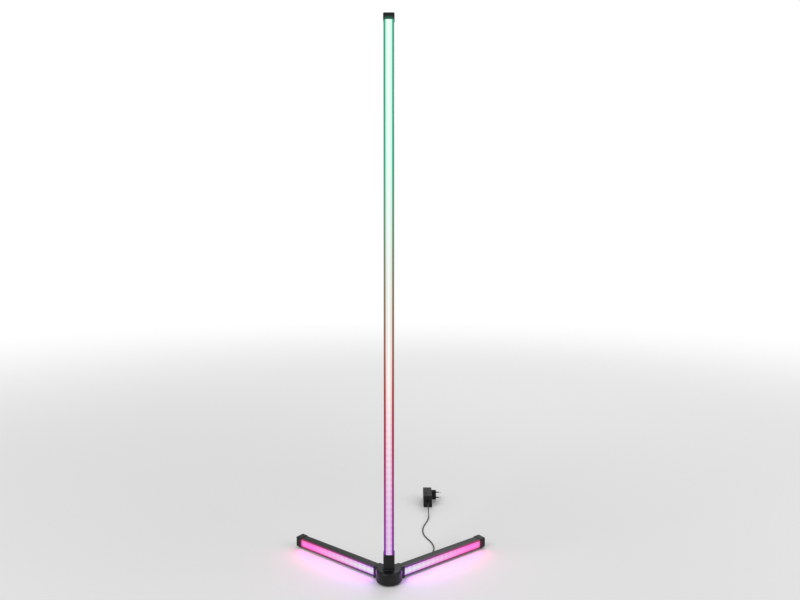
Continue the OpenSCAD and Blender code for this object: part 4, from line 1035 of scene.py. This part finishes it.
def relief(length, wide, narrow, ribs):
    """Tapered strain relief from z = 0: a cone with rounded ribs that shrink along it."""
    core = turned([(0, 0), (wide - 0.8, 0), (narrow - 0.35, length - 0.2), (narrow - 0.5, length),
                   (0, length)], 40)
    step = length / ribs
    tall, ease = 0.56 * step, 0.12 * step
    rib = turned([(0, 0), (1 - 0.05, 0), (1 - 0.015, ease * 0.4), (1, ease), (1, tall - ease),
                  (1 - 0.015, tall - ease * 0.4), (1 - 0.05, tall), (0, tall)], 40)
    last = wide + (narrow - wide) * (ribs - 0.6) / ribs
    return join_meshes(core, in_row(rib, ribs, (0, 0, step), ADAPTER, (wide - 0.08, last)))


def make_reliefs():
    plug = relief(12, 3.9, 2.25, 4)
    plug.transform(frame_matrix((1, 0, 0), (0, 0, -1), (0, 1, 0), (0, 50.8, 12)))
    adapter = relief(30, 4.4, 2.25, 7)
    adapter.transform(frame_matrix((1, 0, 0), (0, 0, 1), (0, -1, 0), (123, 500, 21)))
    piece("ribbed_plug_relief", plug, ADAPTER, "lamp", ["cord_plug_relief"], 35)
    piece("ribbed_adapter_relief", adapter, ADAPTER, "lamp", ["adapter_relief"], 35)


make_screws()
make_lights()
make_reliefs()


# ---------- Tie round the hank ----------

TIE_MID = HANK_MID + 1.025 * LEG_BACK
TIE_W, TIE_HALF_T, TIE_TOP, TAB_RISE = 12, 0.38, 10.05, 0.86


def tie_line():
    """The band's middle line across the hank, from under its tab right round and over it again."""
    half, low, high, round_r = 13.5875, 0.4, TIE_TOP, 2.2
    corners = [(half, high), (half, low), (-half, low), (-half, high)]
    line = [Vector((b, high)) for b in (3, 6, 9)]
    for i, (b, z) in enumerate(corners):
        middle = Vector((b - math.copysign(round_r, b), z - math.copysign(round_r, z - 5)))
        start = math.radians(90 - 90 * i)
        line += [middle + round_r * Vector((math.cos(start - a), math.sin(start - a)))
                 for a in (math.radians(15 * k) for k in range(7))]
        if i == 1:
            line += [Vector((v, low)) for v in (8, 3, -3, -8)]
    line += [Vector((b, high + rise)) for b, rise in (
        (-9, 0), (-6, 0.02), (-3, 0.1), (0, 0.4), (1.5, 0.72), (3, TAB_RISE), (5, TAB_RISE),
        (7, TAB_RISE), (8, TAB_RISE), (8.8, 0.84), (9.4, 0.8))]
    return line


def make_tie():
    line = tie_line()
    w, t = TIE_W / 2, TIE_HALF_T
    top = [(-w, 0), (0.2 - w, 0.3), (0.8 - w, t), (0, t), (w - 0.8, t), (w - 0.2, 0.3)]
    section = top + [(-u, -v) for u, v in top]
    points, faces, along = [], [], [0]
    for a, b in zip(line, line[1:]):
        along.append(along[-1] + (b - a).length)
    for i, spot in enumerate(line):
        ahead = (line[min(i + 1, len(line) - 1)] - line[max(i - 1, 0)]).normalized()
        out = Vector((-ahead.y, ahead.x))
        left = along[-1] - along[i]
        width = math.sqrt(max(0.05, 1 - (1 - left / 2.2) ** 2)) if left < 2.2 else 1
        for u, v in section:
            flat = spot + out * v
            points.append(TIE_MID + u * width * LEG_DIR + flat.x * LEG_BACK + Vector((0, 0, flat.y)))
    n = len(section)
    for i in range(len(line) - 1):
        faces += [(i * n + k, i * n + (k + 1) % n, (i + 1) * n + (k + 1) % n, (i + 1) * n + k)
                  for k in range(n)]
    tail = (len(line) - 1) * n
    faces += [tuple(reversed(range(n))), tuple(range(tail, tail + n))]
    mesh = closed_outwards(mesh_from("band", points, faces), 1e-9)
    layer = mesh.uv_layers.new(name="run")
    for loop in mesh.loops:
        row, k = divmod(loop.vertex_index, n)
        layer.data[loop.index].uv = (section[k][0] / TIE_W + 0.5, along[row] * MM)
    return piece("woven_hank_tie", mesh, WEAVE, "lamp", ["hank_tie"], 50)


def stitch():
    """One sewn stitch: a short thread that dips into the cloth at both ends."""
    path = [(-0.55, 0, -0.1), (-0.42, 0, 0.1), (-0.2, 0, 0.2), (0, 0, 0.23), (0.2, 0, 0.2),
            (0.42, 0, 0.1), (0.55, 0, -0.1)]
    return sweep(path, 0.14, 6)


def make_stitches():
    top = TIE_TOP + TAB_RISE + TIE_HALF_T
    rows = []
    for w in (-4.6, 4.6):
        row = in_row(stitch(), 5, (1.5, 0, 0), WEAVE)
        row.transform(frame_matrix(LEG_BACK, -LEG_DIR, (0, 0, 1),
                                   TIE_MID + w * LEG_DIR + 2.2 * LEG_BACK + Vector((0, 0, top))))
        rows.append(row)
    for b in (1.4, 9.0):
        row = in_row(stitch(), 6, (1.6, 0, 0), WEAVE)
        row.transform(frame_matrix(LEG_DIR, LEG_BACK, (0, 0, 1),
                                   TIE_MID - 4 * LEG_DIR + b * LEG_BACK + Vector((0, 0, top))))
        rows.append(row)
    return piece("tie_stitching", join_meshes(*rows), JACKET, "lamp", (), 40)


# ---------- Cord ----------

def make_cord(goes_with):
    route = cord_route()
    tube = sweep(route, CORD_D / 2, 16)
    cord = piece("power_cord", tube, JACKET, "lamp",
                 ["cord_lead_in", "cord_hank", "cord_run"], 60)
    path = [tuple(p * MM) for p in route]


make_cord([make_tie(), make_stitches()])


# ---------- Floor and lights ----------

def make_floor():
    f = Finish("pale_floor", Roughness=0.6, Specular_IOR_Level=0.2)
    at = f.place()
    x, y, _ = f.parts(at)
    away = ((x * x + y * y) ** 0.5).step(0.7, 6.0) ** 0.6
    f.set(Base_Color=f.mix(f.noise(at, 40, 4) * 0.1, (0.82, 0.82, 0.82), (0.78, 0.78, 0.785)))
    white = f.node("ShaderNodeEmission", {}, {"Color": (1.0, 1.0, 1.0)})
    blend = f.node("ShaderNodeMixShader", {}, {0: away, 1: Value(f, f.shader.outputs[0]), 2: white})
    f.tree.links.new(blend.socket, f.tree.nodes["Material Output"].inputs[0])
    mesh = bpy.data.meshes.new("floor")
    rim = [(9 * math.cos(math.tau * k / 96), 9 * math.sin(math.tau * k / 96), 0) for k in range(96)]
    mesh.from_pydata(rim, [], [tuple(range(96))])
    mesh.materials.append(f.material)
    floor = bpy.data.objects.new("floor", mesh)
    scene.collection.objects.link(floor)


def make_world():
    world = bpy.data.worlds.new("soft_room")
    scene.world = world
    world.use_nodes = True
    tree = world.node_tree
    light = tree.nodes["Background"]
    light.inputs["Color"].default_value = (1, 1, 1, 1)
    light.inputs["Strength"].default_value = 0.5
    shown = tree.nodes.new("ShaderNodeBackground")
    shown.inputs["Color"].default_value = (1, 1, 1, 1)
    path = tree.nodes.new("ShaderNodeLightPath")
    pick = tree.nodes.new("ShaderNodeMixShader")
    tree.links.new(path.outputs["Is Camera Ray"], pick.inputs[0])
    tree.links.new(light.outputs[0], pick.inputs[1])
    tree.links.new(shown.outputs[0], pick.inputs[2])
    tree.links.new(pick.outputs[0], tree.nodes["World Output"].inputs[0])


def area_light(name, place, aim, size, power, colour=(1, 1, 1)):
    data = bpy.data.lights.new(name, "AREA")
    data.shape = "RECTANGLE"
    data.size, data.size_y = size
    data.energy = power
    data.color = colour
    lamp = bpy.data.objects.new(name, data)
    lamp.location = place
    lamp.rotation_mode = "QUATERNION"
    lamp.rotation_quaternion = (Vector(place) - Vector(aim)).to_track_quat("Z", "Y")
    lamp.visible_camera = False
    scene.collection.objects.link(lamp)


make_floor()
make_world()
area_light("soft_key", (-1.9, -1.6, 2.6), (0, 0, 0.7), (1.6, 1.6), 40)
area_light("soft_fill", (2.4, -0.9, 1.7), (0, 0, 0.6), (1.8, 1.8), 19)
area_light("soft_back", (0.6, 2.4, 2.2), (0, 0, 0.8), (1.6, 1.2), 18)


def light_floor():
    """The strips' own light on the floor in front of the legs: violet by the hub, crimson outside."""
    for side in (1, -1):
        for s, colour in ((90, (0.55, 0.08, 1)), (185, (1, 0.12, 0.85)), (280, (1, 0.08, 0.38))):
            spot = s * LEG_DIR - 15 * LEG_BACK
            aim = s * LEG_DIR - 60 * LEG_BACK
            area_light(f"strip_light_{side}_{s}", (side * spot.x * MM, spot.y * MM, LEG_Z * MM),
                       (side * aim.x * MM, aim.y * MM, LEG_Z * MM), (0.094, 0.017), 0.05, colour)


light_floor()
